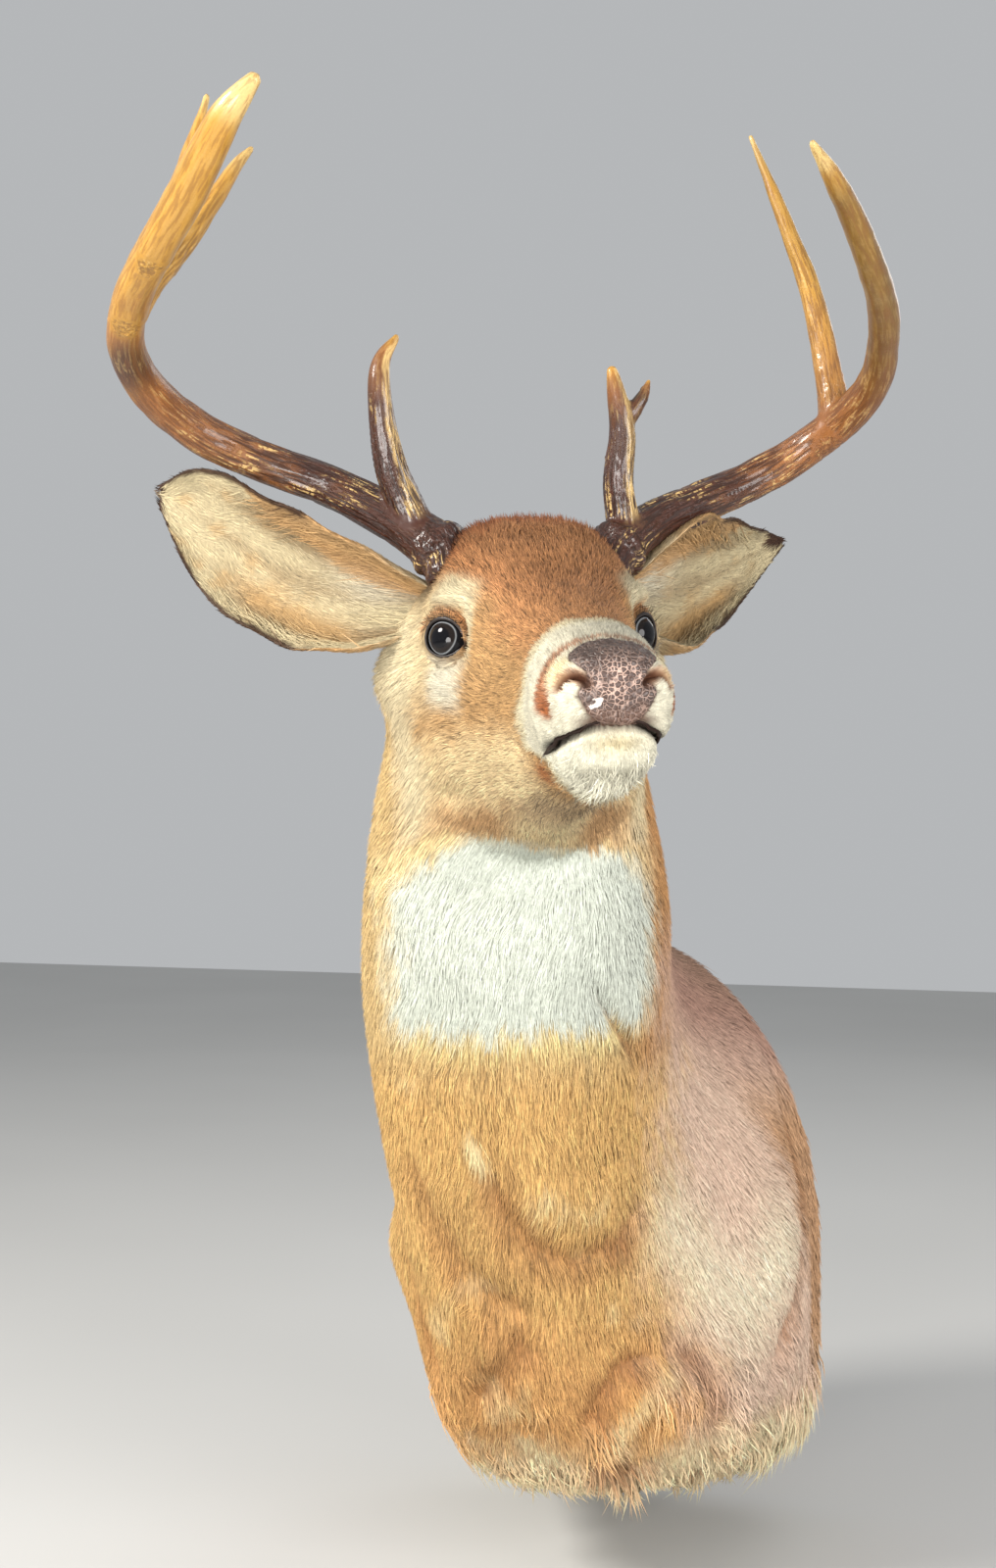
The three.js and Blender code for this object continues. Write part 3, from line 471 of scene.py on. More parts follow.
def markings(p):
    """The coat's colour at points of the hide, in mm: a base tone with each mark laid over it. The
    marks' edges are smooth steps moved about by soft noise."""
    q = fold_left(to_head(p))
    side = to_head(p)[..., 0]
    l, f, u = q[..., 0], q[..., 1], q[..., 2]
    x, y, z = p[..., 0], p[..., 1], p[..., 2]
    soft = waves(p, 16, 5) * 3 + waves(p, 7, 6) * 1.5
    wide = waves(p, 70, 7) + 0.5 * waves(p, 30, 8)
    colour = np.ones(p.shape) * np.array(NECK)
    lay = brush(colour)
    jaw_line = np.interp(side, [-80, -50, -20, 10, 45, 75], [-118, -106, -110, -117, -117, -116])
    on_head = ramp(f + soft, -85, -60) * ramp(u - jaw_line + soft, -2, 6)
    # trunk
    # Painted shade: the upper neck's left side is laid a darker red-brown, as in shadow.
    lay(NECK_LEFT_SHADE, ramp(side + soft, 52, 74) * ramp(z, 60, 150))
    lay(CHEST, ramp(-z + soft * 2, -165, -120))
    lay(CHEST_LOW, ramp(-z + soft * 3, -20, 90) * 0.8)
    lay(LIGHT, ramp(wide, 0.75, 1.3) * 0.4 * (1 - on_head))
    # Painted highlight: a pale line along the crest of a raised ridge of the hide.
    streak, _ = along_path(p, [(36, -392, 104), (44, -388, 70), (50, -378, 44)])
    lay(LIGHT, bell(streak + soft * 0.5, 4.5) * 0.9)
    low = 0.30 * np.abs(z - 20) * np.where(z < 20, 0.6, -0.2)
    flank = ramp(np.abs(x - 10) + 0.42 * (y + 300) - low + soft * 3 + wide * 9, 96, 168)
    flank *= ramp(-z + soft, -250, -190) * ramp(z + soft * 2, -165, -110)
    lay(SHOULDER, flank)
    # Painted sheen: a pale band along the curve of the shoulder, where it catches the light.
    pale, _ = along_path(p, [(132, -246, 30), (140, -212, -10), (150, -170, -40), (158, -120, -10)])
    lay(SHOULDER_SHEEN, bell(pale, 34) * 0.85)
    lay(SHOULDER_SHEEN, bell(pale, 40) * ramp(-x, 60, 100) * 0.5)
    lay(SHOULDER_TOP, flank * ramp(z + 0.35 * y + wide * 8, 40, 130))
    behind = ramp(y + 0.42 * z + soft * 3, -96, -52) * ramp(np.abs(x) + 0.5 * z, 60, 120)
    lay(BACK_STRIP, behind * ramp(-z, -120, -60) * 0.85)
    lay(NAPE, ramp(z + 0.55 * (y + 100) + soft * 2, 150, 260) * ramp(y, -330, -250) * 0.8)
    lay(FRINGE, ramp(-z + soft * 2 + wide * 14, 96, 150) * 0.9)
    lay(CREAM, ramp(-z + soft * 2, 100, 130) * ramp(waves(p, 38, 12), 0.4, 1.0) * 0.6)
    lay(FOLD_SHADE, ramp(-z + soft * 2, 110, 140) * ramp(waves(p, 30, 13), 0.75, 1.3) * 0.7)
    folded = relief(p, HIDE_FOLDS)
    shaded = relief(p, [(path, width * 2, depth) for path, width, depth in HIDE_FOLDS if depth > 0])
    lay(FOLD_SHADE, ramp(shaded + soft * 0.4, 2, 14) * 0.85)
    # Painted highlight: the raised ridges of the hide are laid lighter, in broken streaks.
    strands = np.clip(0.22 + 0.3 * waves(p * (1, 1, 0.3), 9, 19), 0, 0.6)
    lay(LIGHT, ramp(-folded + wide * 1.2, 1.5, 5) * strands)
    # throat patch
    front = ramp(f, -118, -96)
    heights = [-165, -140, -122, -112]
    right, left = np.interp(u, heights, [80, 78, 60, 38]), np.interp(u, heights, [71, 68, 55, 40])
    width = ramp(left - side + soft * 1.5, -12, 8) * ramp(right + side + soft * 1.5, -12, 8)
    tall = ramp(u + soft, -231, -217) * ramp(jaw_line - u + soft, -9, 5)
    around = ramp(-side + soft, -84, -64) * ramp(side + soft, -98, -74) * ramp(u, -240, -222)
    lay(LIGHT, around * ramp(jaw_line - u, -8, 6) * front * 0.6)
    lay(BIB_RIM, front * ramp(-side + soft, -76, -50) * ramp(side + soft, -86, -56)
        * ramp(u + soft, -244, -226) * ramp(-u, 190, 215) * 0.6)
    lay(BIB, front * width * tall)
    crease, _ = along_path(p, HIDE_FOLDS[0][0])
    lay(FOLD_SHADE, bell(crease + soft * 0.2, 3.2) * 0.85)
    # head
    lay(CHEEK, on_head)
    lay(TEMPLE, on_head * ramp(-f + soft, -4, 22) * ramp(u, -50, -15) * ramp(l, 46, 60) * 0.9)
    lay(JAW, on_head * ramp(-u + soft, 40, 66) * ramp(-f, -100, -60))
    lay(CREAM, on_head * ramp(-f + soft * 2, 28, 60) * ramp(-u + soft, -34, -10) * ramp(l, 52, 66) * 0.75)
    lay(FOREHEAD, on_head * ramp(u + 0.14 * f + soft - 0.35 * np.maximum(l - 26, 0), 10, 30))
    lay(FOREHEAD, on_head * ramp(f, 20, 60) * ramp(u + 0.25 * (f - 60) + soft, -18, 8) * 0.75)
    lay(CROWN, on_head * ramp(-f + soft * 2, 8, 44) * ramp(u, 36, 52) * 0.95)
    lay(BLACK, spot(q, (47, -50, 45), 24) * 0.9)
    jaw_edge = ramp(-u + soft, 84, 98) * ramp(f, -70, -40) * ramp(-f + soft, -78, -44)
    lay(JAW_EDGE, on_head * jaw_edge * ramp(l, 12, 30) * 0.8)
    lay(THROAT, on_head * ramp(-u + soft * 0.5, 82, 93) * ramp(f + soft, 0, 40) * ramp(-l, -34, -20) * 0.8)
    # rings of pale hair round the eyes
    ex, ey, _ = ((q - EYE_AT) @ axis for axis in EYE_AXES)
    away = np.hypot(ex, ey)
    near_eye = ramp(((q - EYE_AT) @ GAZE), -16, -6) * on_head
    lay(FOREHEAD, near_eye * bell(away - 15, 4) * ramp(ey, -2, 6) * 0.8)
    above = np.exp(-((ex - 4) / 20) ** 4 - ((ey - 25) / 8.5) ** 4)
    before = np.exp(-((ex - 21) / 6) ** 4 - ((ey - 4) / 17) ** 4)
    below = np.exp(-((ex - 6) / 17) ** 4 - ((ey + 24) / 14) ** 4)
    lay(CREAM, near_eye * np.clip(above * 0.95 + before * 0.85, 0, 1))
    lay(WHITE, near_eye * below * 0.9)
    lay(BLACK, near_eye * bell(away, 12.8, 10) * 0.85)
    duct, place = along_path(np.stack([ex, ey, 0 * ex], -1), TEAR_DUCT)
    lay(JAW_EDGE, near_eye * bell(duct, 4.0, 4) * (1 - place) * 0.8)
    lay(BLACK, near_eye * bell(duct, 2.4 - place, 4) * 0.95)
    # muzzle
    edge = np.interp(u, [-95, -68, -60, -41, -29, -18, -8, 0, 8],
                     [121, 121, 84, 80, 92, 104, 111, 115, 117])
    band = ramp(f + soft * 0.8 - edge, -5, 5)
    lay(CREAM, band)
    lay(WHITE, band * ramp(f + soft - edge, 4, 16) * 0.9)
    crescent, place = along_path(q, [(0, 146, -8), (9, 147, -9.5), (17, 147, -12.5), (25, 146, -18),
                                     (31, 146, -27), (32, 147, -35), (30.5, 153, -43)])
    breadth = 2.4 + 9.0 * place ** 2 * ramp(-place, -1.08, -0.84)
    lay(RUST, bell(crescent, breadth, 4) * (0.6 + 0.38 * place))
    lay(LIGHT, spot(q, (26, 157, -25), 8) * 0.8)
    nostril, _ = along_path(q, NOSTRIL)
    lay(RUST, bell(nostril, 3.6, 4) * 0.8)
    lay(NOSTRIL_RED, bell(nostril, 2.4, 4) * 0.9)
    lay(PAD_BROWN, ramp(pad_inside(q), -2.5, 0.5))
    lay(PAD_BROWN, ramp(f, 150, 162) * ramp(-u, 44, 48) * ramp(u, -55, -51) * ramp(-l, -24, -12) * 0.9)
    lay(RUST, spot(q, (25, 101, -74), (10, 13, 6.5)) * 0.85)
    lay(CHIN_WHITE, ramp(f, 118, 134) * ramp(-u, 56, 62) * ramp(u, -94, -86) * 0.45)
    lay(CHIN_STAIN, spot(q, (0, 166, -59), (12, 9, 4), 2) * 0.5)
    lip, place = along_path(q, MOUTH_LINE)
    lay(BLACK, bell(lip, 1.8 + 1.7 * np.sin(np.pi * place) ** 2, 4) * 0.97)
    mottle = 1 + on_head * (0.13 * waves(p, 5, 9) + 0.10 * waves(p, 11, 10))
    return np.clip(colour * mottle[..., None], 0.003, 0.95)


def mesh_object(name, points, faces, smooth=True):
    """An object from points in mm and faces as one array of triangles or quads."""
    mesh = bpy.data.meshes.new(name)
    mesh.vertices.add(len(points))
    mesh.vertices.foreach_set("co", (np.asarray(points) * MM).astype(np.float32).ravel())
    corners = faces.shape[1]
    mesh.loops.add(faces.size)
    mesh.loops.foreach_set("vertex_index", faces.astype(np.int32).ravel())
    mesh.polygons.add(len(faces))
    mesh.polygons.foreach_set("loop_start", np.arange(0, faces.size, corners, dtype=np.int32))
    mesh.update(calc_edges=True)
    mesh.polygons.foreach_set("use_smooth", np.full(len(faces), smooth))
    made = bpy.data.objects.new(name, mesh)
    bpy.context.scene.collection.objects.link(made)
    return made


def paint(piece, name, colours):
    """Keeps a linear colour for every point of a piece."""
    layer = piece.data.color_attributes.new(name, "FLOAT_COLOR", "POINT")
    rgba = np.concatenate([colours, np.ones((len(colours), 1))], 1)
    layer.data.foreach_set("color", rgba.astype(np.float32).ravel())


def lay_out(piece, uv, strip=None):
    """Keeps each point's place on the unwrapped skin, as the map OFBake. `strip` is the height of
    the strip that a point lies in, so that a triangle over the join is carried on past its end."""
    layer = piece.data.uv_layers.new(name="OFBake")
    corners = np.empty(len(piece.data.loops), np.int32)
    piece.data.loops.foreach_get("vertex_index", corners)
    place = uv[corners]
    if strip is not None:
        v, tall = place[:, 1].reshape(-1, 3), strip[corners].reshape(-1, 3)
        place[:, 1] = (v + tall * (v.max(1, keepdims=True) - v > tall / 2)).ravel()
    layer.data.foreach_set("uv", place.astype(np.float32).ravel())


# The unwrap: the hide's grid fills the left part of the sheet and each ear a strip beside it.
HIDE_SHARE, EAR_STRIP, EAR_LONG, EAR_TALL = 0.78, 0.8, 0.18, 0.96


def hide_uv(t, phi):
    """Places of the hide on the sheet: t runs along its part and phi up it."""
    return np.stack([(t + 1) / (TRUNK_END + 1) * HIDE_SHARE, phi / (2 * np.pi)], -1)


def ear_uv(index, u, turn):
    """Places of an ear on the sheet: u runs along its strip and turn, 0 to 1, up it."""
    return np.stack([EAR_STRIP + EAR_LONG * u, (index + turn * EAR_TALL) / 2], -1)


def closed_grid_faces(rows, columns, first=0):
    """Quads between the rows of a grid that is closed along its columns."""
    r, c = np.meshgrid(np.arange(rows - 1), np.arange(columns), indexing="ij")
    n = (c + 1) % columns
    quads = np.stack([r * columns + c, (r + 1) * columns + c, (r + 1) * columns + n, r * columns + n], -1)
    return quads.reshape(-1, 4) + first


def tip_faces(row, tip, flip, columns, first=0):
    """A fan, as quads with a doubled corner, between one row and a single point."""
    c = np.arange(columns)
    n = (c + 1) % columns
    a, b = (c, n) if flip else (n, c)
    return np.stack([row * columns + a + first, row * columns + b + first,
                     np.full(columns, tip), np.full(columns, tip)], -1)


def halved(faces):
    """Splits quads into triangles and leaves out those that a doubled corner makes empty."""
    halves = np.concatenate([faces[:, [0, 1, 2]], faces[:, [0, 2, 3]]])
    a, b, c = halves.T
    return halves[(a != b) & (b != c) & (c != a)]


def capped_faces(rows, columns, first=0):
    """Triangles of a grid closed along its columns and, at both ends, by a fan to each of the two
    points that follow it."""
    tip = first + rows * columns
    return halved(np.concatenate([closed_grid_faces(rows, columns, first),
                                  tip_faces(0, tip, True, columns, first),
                                  tip_faces(rows - 1, tip + 1, False, columns, first)]))


def outward(points, faces):
    """Faces turned so that a closed mesh holds a positive volume."""
    a, b, c = (points[faces[:, k]] for k in range(3))
    return faces if (a * np.cross(b, c)).sum() > 0 else faces[:, ::-1]


class Wires:
    """Builds a material's nodes: a method call makes a node, and Python operators make maths."""

    def __init__(self, name, **constant):
        self.material = bpy.data.materials.new(name)
        self.material.use_nodes = True
        self.tree = self.material.node_tree
        self.shader = self.tree.nodes["Principled BSDF"]
        for socket, value in constant.items():
            self.shader.inputs[socket.replace("_", " ")].default_value = value

    def node(self, kind, settings=None, **inputs):
        """A node of that type, with its settings and its inputs' values or links, as a Socket."""
        made = self.tree.nodes.new("ShaderNode" + kind)
        for key, value in (settings or {}).items():
            if key == "stops":
                for _ in range(len(value) - 2):
                    made.color_ramp.elements.new(0.5)
                for stop, (at, tone) in zip(made.color_ramp.elements, value):
                    stop.position = at
                    stop.color = (*tone, 1) if len(tone) == 3 else tone
            else:
                setattr(made, key, value)
        for key, value in inputs.items():
            index = int(key[1:]) if key[0] == "i" and key[1:].isdigit() else key.replace("_", " ")
            self.link(value, made.inputs[index])
        return Socket(self, made)

    def link(self, value, socket):
        """Puts a number, a colour or another node's output into a socket."""
        if isinstance(value, Socket):
            self.tree.links.new(value.out, socket)
        else:
            socket.default_value = value

    def set(self, **inputs):
        """Feeds the shader's sockets."""
        for key, value in inputs.items():
            self.link(value, self.shader.inputs[key.replace("_", " ")])
        return self.material

    def mix(self, share, a, b):
        """Colour a towards colour b by share."""
        made = self.tree.nodes.new("ShaderNodeMix")
        made.data_type = "RGBA"
        for value, index in ((share, 0), (a, 6), (b, 7)):
            value = (*value, 1) if isinstance(value, tuple) and len(value) == 3 else value
            self.link(value, made.inputs[index])
        return Socket(self, made, 2)

    def bump(self, height, strength, distance):
        """A normal bent by a height."""
        return self.node("Bump", None, Strength=strength, Distance=distance, Height=height)

    def ease(self, value, a, b):
        """Smooth step of a value: 0 at a, 1 at b."""
        return self.node("MapRange", {"interpolation_type": "SMOOTHSTEP"}, Value=value, i1=a, i2=b)

    def place(self):
        """Object coordinates, in metres."""
        return self.node("TexCoord").at("Object")


class Socket:
    """One output of a node; +, - and * make Math nodes, also with a number on the left."""

    def __init__(self, wires, made, index=0):
        self.wires, self.made, self.out = wires, made, made.outputs[index]

    def at(self, name):
        """The same node's output of that name."""
        self.out = self.made.outputs[name]
        return self

    def math(self, operation, a, b):
        """A Math node on two numbers or outputs."""
        return self.wires.node("Math", {"operation": operation}, i0=a, i1=b)

    def __add__(self, other):
        return self.math("ADD", self, other)

    def __mul__(self, other):
        return self.math("MULTIPLY", self, other)

    def __sub__(self, other):
        return self.math("SUBTRACT", self, other)

    def __rsub__(self, other):
        return self.math("SUBTRACT", other, self)

    __radd__, __rmul__ = __add__, __mul__


def hair_material():
    """Coat hair: the marks' colour with finer light and dark strands."""
    wires = Wires("deer_hair", Roughness=0.62, Specular_IOR_Level=0.22)
    tone = wires.node("VertexColor", {"layer_name": "marks"})
    place = wires.place()
    grain = wires.node("TexNoise", None, Vector=place, Scale=420.0, Detail=2.0)
    return wires.set(Base_Color=wires.mix(grain * 0.45, tone, (0.03, 0.015, 0.01)))


def skin_material():
    """The hide under the hair: the marks' colour, with painted shade darker between hairs, and a fine hair bump."""
    wires = Wires("deer_hide", Roughness=0.8, Specular_IOR_Level=0.15)
    tone = wires.node("VertexColor", {"layer_name": "marks"})
    place = wires.node("UVMap", {"uv_map": "OFBake"})
    stretch = wires.node("Mapping", None, Vector=place, Scale=(900.0, 60.0, 1.0))
    strands = wires.node("TexNoise", None, Vector=stretch, Scale=1.0, Detail=4.0)
    dark = wires.mix(0.5, tone, (0.05, 0.03, 0.02))
    return wires.set(Base_Color=wires.mix(strands, dark, tone),
                     Normal=wires.bump(strands, 0.5, 0.0008))


HAIR = hair_material()
HIDE = skin_material()

# ------------------------------------------------------------------ ears and the one skin
# Each ear is a leaf of cartilage rolled into a cup, its hide sewn to the head's. Their shells join
# the head, neck and trunk in one skin, which turns in behind the coat to hold the board's edge.

EARS = {
    "right": {"side": -1, "root": (-50, -78, 20), "tip": (-206, -120, 95), "opens": (-0.254, 0.967, 0),
              "low": (-0.1, -0.1, -1), "halves": (13, 20, 28, 33, 37, 39, 40, 36, 27, 6), "sag": 16,
              "dark_tip": (0.972, 0.99, 0.0)},
    "left": {"side": 1, "root": (48, -78, 16), "tip": (192, -170, 66), "opens": (0.484, 0.854, 0.19),
             "low": (-0.14, 0.05, -1), "halves": (13, 28, 38, 39, 36, 32, 27, 20, 12, 3), "sag": 5,
             "dark_tip": (0.89, 0.93, 0.1)},
}
CUP = np.radians([118.0, 34.0])
EAR_ROWS, EAR_COLUMNS = 76, 56
EAR_SHELL, EAR_FRONT, RIDGE_HEIGHT, RIPPLE_HEIGHT = 1.7, 0.75, 3.4, 1.6
EAR_INSIDE, EAR_CUP_SHADE, EAR_BACK = (0.51, 0.43, 0.26), (0.25, 0.17, 0.085), (0.50, 0.29, 0.12)
EAR_GOLD, EAR_RIM = (0.52, 0.32, 0.13), (0.040, 0.018, 0.010)
BOARD_INSET, BOARD_THICKNESS = 15.6, 19.6


def ear_surface(ear, u, v, out):
    """An ear in mm: u runs from root to tip, v from -1 on the upper edge to 1 on the lower one.

    The blade's middle line sags like a sine; across it the leaf is an arc whose half angle falls
    from the cup's first value to its second; out is the distance outside that arc."""
    root, tip = np.array(ear["root"], float), np.array(ear["tip"], float)
    opens, low = unit(ear["opens"]), unit(ear["low"])
    half = catmull_rom(np.array(ear["halves"], float)[:, None], u * (len(ear["halves"]) - 1))[..., 0]
    cup = CUP[0] + (CUP[1] - CUP[0]) * u
    radius = half / np.sin(np.minimum(cup, np.pi / 2))
    middle = root + (tip - root) * u[..., None] + low * (ear["sag"] * np.sin(np.pi * u))[..., None]
    arm = radius + np.minimum(np.abs(out), half * 0.4) * np.sign(out)
    sheet = low * (arm * np.sin(v * cup))[..., None] + opens * (radius - arm * np.cos(v * cup))[..., None]
    return from_head(middle + sheet)


def ear_ridges(u, v):
    """Folds of cartilage that run along the cup and fan out from its root, 0 to 1."""
    return 0.5 + 0.5 * np.sin(v * (6.5 - 2.5 * u) + u * 2.2 + 0.6)


def ear_grid(ear):
    """The ear's closed shell: the columns go along the back from one edge to the other and return
    inside; ridges of cartilage stand on the inner face."""
    u = np.linspace(0, 1, EAR_ROWS) ** 0.93
    turn = np.linspace(0, 2 * np.pi, EAR_COLUMNS, endpoint=False)
    v = np.cos(turn)
    uu, vv = np.meshgrid(u, v, indexing="ij")
    out = EAR_SHELL * np.sin(turn)[None, :] * np.ones_like(uu)
    ridges = ear_ridges(uu, vv) * RIDGE_HEIGHT * ramp(1 - uu, 0.1, 0.6) * (1 - vv ** 2)
    out = np.where(out < 0, out - ridges, out)
    ripple = RIPPLE_HEIGHT * np.sin(uu * 21 + 2 * ear["side"]) * np.abs(vv) ** 5 * ramp(uu, 0.15, 0.5)
    return uu, vv, turn, ear_surface(ear, uu, vv, out + ripple)


def ear_marks(ear, uu, vv, inner, p):
    """Ear colours: cream inside, with painted shade deeper in the cup and along its folds, tan behind and nearly black
    along the rim.
    """
    soft = waves(p, 12, 15) * 0.06
    colour = np.where(inner[..., None], np.array(EAR_INSIDE), np.array(EAR_BACK)) * np.ones(p.shape)
    lay = brush(colour)
    # Painted shade: darker between the ridges deep in the cup, along a streak and along a fold.
    cup = ramp(1 - ear_ridges(uu, vv), 0.40, 0.95) * ramp(-np.abs(vv), -0.9, -0.6)
    lay(EAR_CUP_SHADE, inner * cup * ramp(-uu, -0.85, -0.6) * 0.85)
    lay(EAR_CUP_SHADE, inner * bell(vv + 0.2 - 0.5 * uu, 0.12) * ramp(-uu + soft, -0.62, -0.4) * 0.6)
    fold = bell(vv + 0.42 - 0.5 * uu + 0.12 * np.sin(uu * 9), 0.09) * ramp(uu, 0.3, 0.5)
    lay(EAR_CUP_SHADE, inner * fold * ramp(-uu + soft, -0.95, -0.75) * 0.55)
    lay(EAR_GOLD, inner * ramp(waves(p, 13, 17), 0.3, 1.1) * ramp(uu, 0.2, 0.4) * 0.45)
    low = bell(vv - 0.62 + uu * 0.3, 0.2) * ramp(uu, 0.15, 0.35) * ramp(-uu, -0.75, -0.6)
    lay(EAR_GOLD, inner * low * 0.7)
    lay(WHITE, inner * bell(vv + 0.3, 0.28) * bell(uu - 0.2, 0.13) * 0.7)
    lay(CREAM, (1 - inner) * ramp(-uu + soft, -0.3, 0.0) * 0.7)
    front = EAR_FRONT * ramp(-uu, -0.8, -0.2)
    lay(EAR_BACK, inner * ramp(-vv + soft, 0.95 - front, 1.08 - front) * 0.85)
    lay(EAR_RIM, ramp(np.abs(vv) + soft * 0.15, 0.925, 0.955) * ramp(uu + soft, 0.34, 0.5) * 0.95)
    lay(EAR_RIM, (1 - inner) * ramp(uu + soft + 0.1 * np.abs(vv), 0.84, 0.95) * 0.85)
    tip_from, tip_to, slant = ear["dark_tip"]
    lay(EAR_RIM, inner * ramp(uu + soft * 0.6 - slant * vv, tip_from, tip_to))
    return colour


def board_pocket():
    """Three rings that turn the skin's back edge in round the board, and the point they close in."""
    phi = COLUMNS_PHI
    s = SECTIONS[-1]
    middle = s[3:6] + (s[0:3] - s[3:6]) * s[11]
    outline = coat_surface(np.full(phi.shape, float(TRUNK_END)), phi)
    arm = (outline - middle) * (1, 0, 1)
    length = np.linalg.norm(arm, axis=-1, keepdims=True)
    inner = middle + arm * (length - BOARD_INSET) / length
    return np.stack([np.where([True, False, True], inner, depth) for depth in (-2.0, -BOARD_THICKNESS)])


def one_skin():
    """Joins the hide's grid, its board pocket and the two ears; returns points, faces, uv, colours."""
    rows, columns = SKIN.shape[:2]
    tt, pp = np.meshgrid(ROWS_T, COLUMNS_PHI, indexing="ij")
    pocket = board_pocket()
    ends = np.array([from_head(NOSE_TIP), pocket[-1].mean(0)])
    points = [SKIN.reshape(-1, 3), pocket.reshape(-1, 3), ends]
    hide = hide_uv(tt, pp).reshape(-1, 2)
    edge = np.repeat(hide[-columns:][None], len(pocket), 0).reshape(-1, 2)
    uv = [hide, edge, np.array([[0, 0.5], [HIDE_SHARE, 0.5]])]
    faces = [outward(np.concatenate(points), capped_faces(rows + len(pocket), columns))]
    colours = [markings(np.concatenate([SMOOTH.reshape(-1, 3), *points[1:]]))]
    total = (rows + len(pocket)) * columns + 2
    for k, ear in enumerate(EARS.values()):
        uu, vv, turn, shell = ear_grid(ear)
        rounds = turn[None, :] * np.ones_like(uu)
        points += [shell.reshape(-1, 3), shell[[0, -1]].mean(1)]
        uv.append(ear_uv(k, uu, rounds / (2 * np.pi)).reshape(-1, 2))
        uv.append(np.array([[EAR_STRIP, 0.25 + k / 2], [EAR_STRIP + EAR_LONG, 0.25 + k / 2]]))
        faces.append(outward(np.concatenate(points), capped_faces(EAR_ROWS, EAR_COLUMNS, total)))
        marks = ear_marks(ear, uu, vv, np.sin(rounds) < 0, shell).reshape(-1, 3)
        colours += [marks, marks[[0, -1]]]
        total += EAR_ROWS * EAR_COLUMNS + 2
    return np.concatenate(points), np.concatenate(faces), np.concatenate(uv), np.concatenate(colours)


SKIN_SHADE = 0.85
skin_points, skin_faces, skin_uv, skin_colours = one_skin()
skin = mesh_object("skin", skin_points, skin_faces)
paint(skin, "marks", skin_colours * SKIN_SHADE)
lay_out(skin, skin_uv, np.where(skin_uv[:, 0] < EAR_STRIP, 1.0, EAR_TALL / 2))
skin.data.materials.append(HIDE)
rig.ride(skin, "root")
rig.slot(skin, "coat_body")
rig.replaces(skin, "head", "lower_jaw", "neck", "trunk", "ear_left", "ear_right")

# ------------------------------------------------------------------ the coat
# Hair in thin solid tufts that lie back along the hide: a few millimetres long on the muzzle,
# two centimetres on the neck, longer along the brisket and the edge that hides the board.

HAIR_T = [-1, 1, 3, 6, 8, 10, 12, 14.5, 17, 19]
HAIR_LENGTH = [2.4, 3.8, 4.8, 5.6, 7.2, 10, 12, 12, 12, 12]
HAIR_WIDTH = [0.48, 0.58, 0.66, 0.74, 0.84, 0.95, 1.0, 1.05, 1.1, 1.2]
HAIR_LIFT = [12, 15, 17, 19, 20, 17, 15, 14, 13, 12]
HAIR_SHARE = [1.7, 1.45, 1.15, 0.95, 0.72, 0.58, 0.46, 0.40, 0.36, 0.38]
# Half the side of each tuft's patch of the sheet, how deep a root sits over its width, and how far
# every hair stays from the wall.
PATCH, ROOT_SINK, BOARD_CLEAR = 0.0015, 0.3, 1.0


def tuft_mesh(name, root, normal, lie, length, width, lift, colour, uv, bend=None, wander=0.14):
    """Closed tufts: a three-cornered root that narrows to a point. With `bend` a middle ring is
    added and the tip turns by that angle towards the hide; each tuft strays from its lie."""
    count = len(root)
    draw = np.random.default_rng(count)
    side = unit(np.cross(lie, normal))
    stray = draw.normal(0, wander, count)[:, None]
    lie = unit(lie + side * stray)
    side = unit(np.cross(lie, normal))
    angle = (lift * draw.uniform(0.7, 1.35, count))[:, None]
    length = (length * draw.uniform(0.72, 1.25, count))[:, None]
    width = (width * draw.uniform(0.75, 1.25, count))[:, None]
    axis = lie * np.cos(angle) + normal * np.sin(angle)
    start = root - normal * width * ROOT_SINK
    ring = [start - side * width / 2, start + side * width / 2, start + normal * width * 0.75]
    light = draw.normal(0, 0.09, count)[:, None]
    pale = ramp(colour.min(1, keepdims=True) / colour.max(1, keepdims=True), 0.35, 0.9)
    dark_root = colour * (0.70 + 0.22 * pale + light)
    tip_tone = colour * (1.20 - 0.12 * pale + light)
    normals = [unit(normal - side * 0.8), unit(normal + side * 0.8), normal]
    if bend is None:
        points = [*ring, start + axis * length]
        normals = [*normals, unit(normal + axis * 0.5)]
        tones = [dark_root] * 3 + [tip_tone]
        faces = [(0, 3, 1), (0, 2, 3), (1, 3, 2), (0, 1, 2)]
    else:
        turned = lie * np.cos(angle - bend) + normal * np.sin(angle - bend)
        middle = start + axis * length * 0.45
        thin = width * 0.72
        points = [*ring, middle - side * thin / 2, middle + side * thin / 2, middle + normal * thin * 0.6,
                  middle + turned * length * 0.55]
        normals = [*normals, *normals, unit(normal + axis * 0.5)]
        tones = [dark_root] * 3 + [colour * (0.9 + light)] * 3 + [tip_tone]
        faces = [(0, 3, 4), (0, 4, 1), (0, 2, 5), (0, 5, 3), (1, 4, 5), (1, 5, 2),
                 (3, 6, 4), (3, 5, 6), (4, 6, 5), (0, 1, 2)]
    per = len(points)
    for ring_points in points:
        clear = -BOARD_CLEAR - 0.3 * draw.uniform(size=count)
        ring_points[:, 1] = np.minimum(ring_points[:, 1], clear)
    points = np.stack(points, 1).reshape(-1, 3)
    faces = (np.array(faces)[None] + np.arange(count)[:, None, None] * per).reshape(-1, 3)
    made = mesh_object(name, points, faces)
    paint(made, "marks", np.clip(np.stack(tones, 1).reshape(-1, 3), 0.002, 1))
    patch = np.zeros((per, 2))
    patch[0::3, 0] = -PATCH
    patch[1::3, 0] = PATCH
    patch[-1] = (0, 2 * PATCH)
    lay_out(made, (uv[:, None] + patch[None]).reshape(-1, 2))
    made.data.normals_split_custom_set_from_vertices(np.stack(normals, 1).reshape(-1, 3))
    made.data.materials.append(HAIR)
    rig.ride(made, "root")
    return made


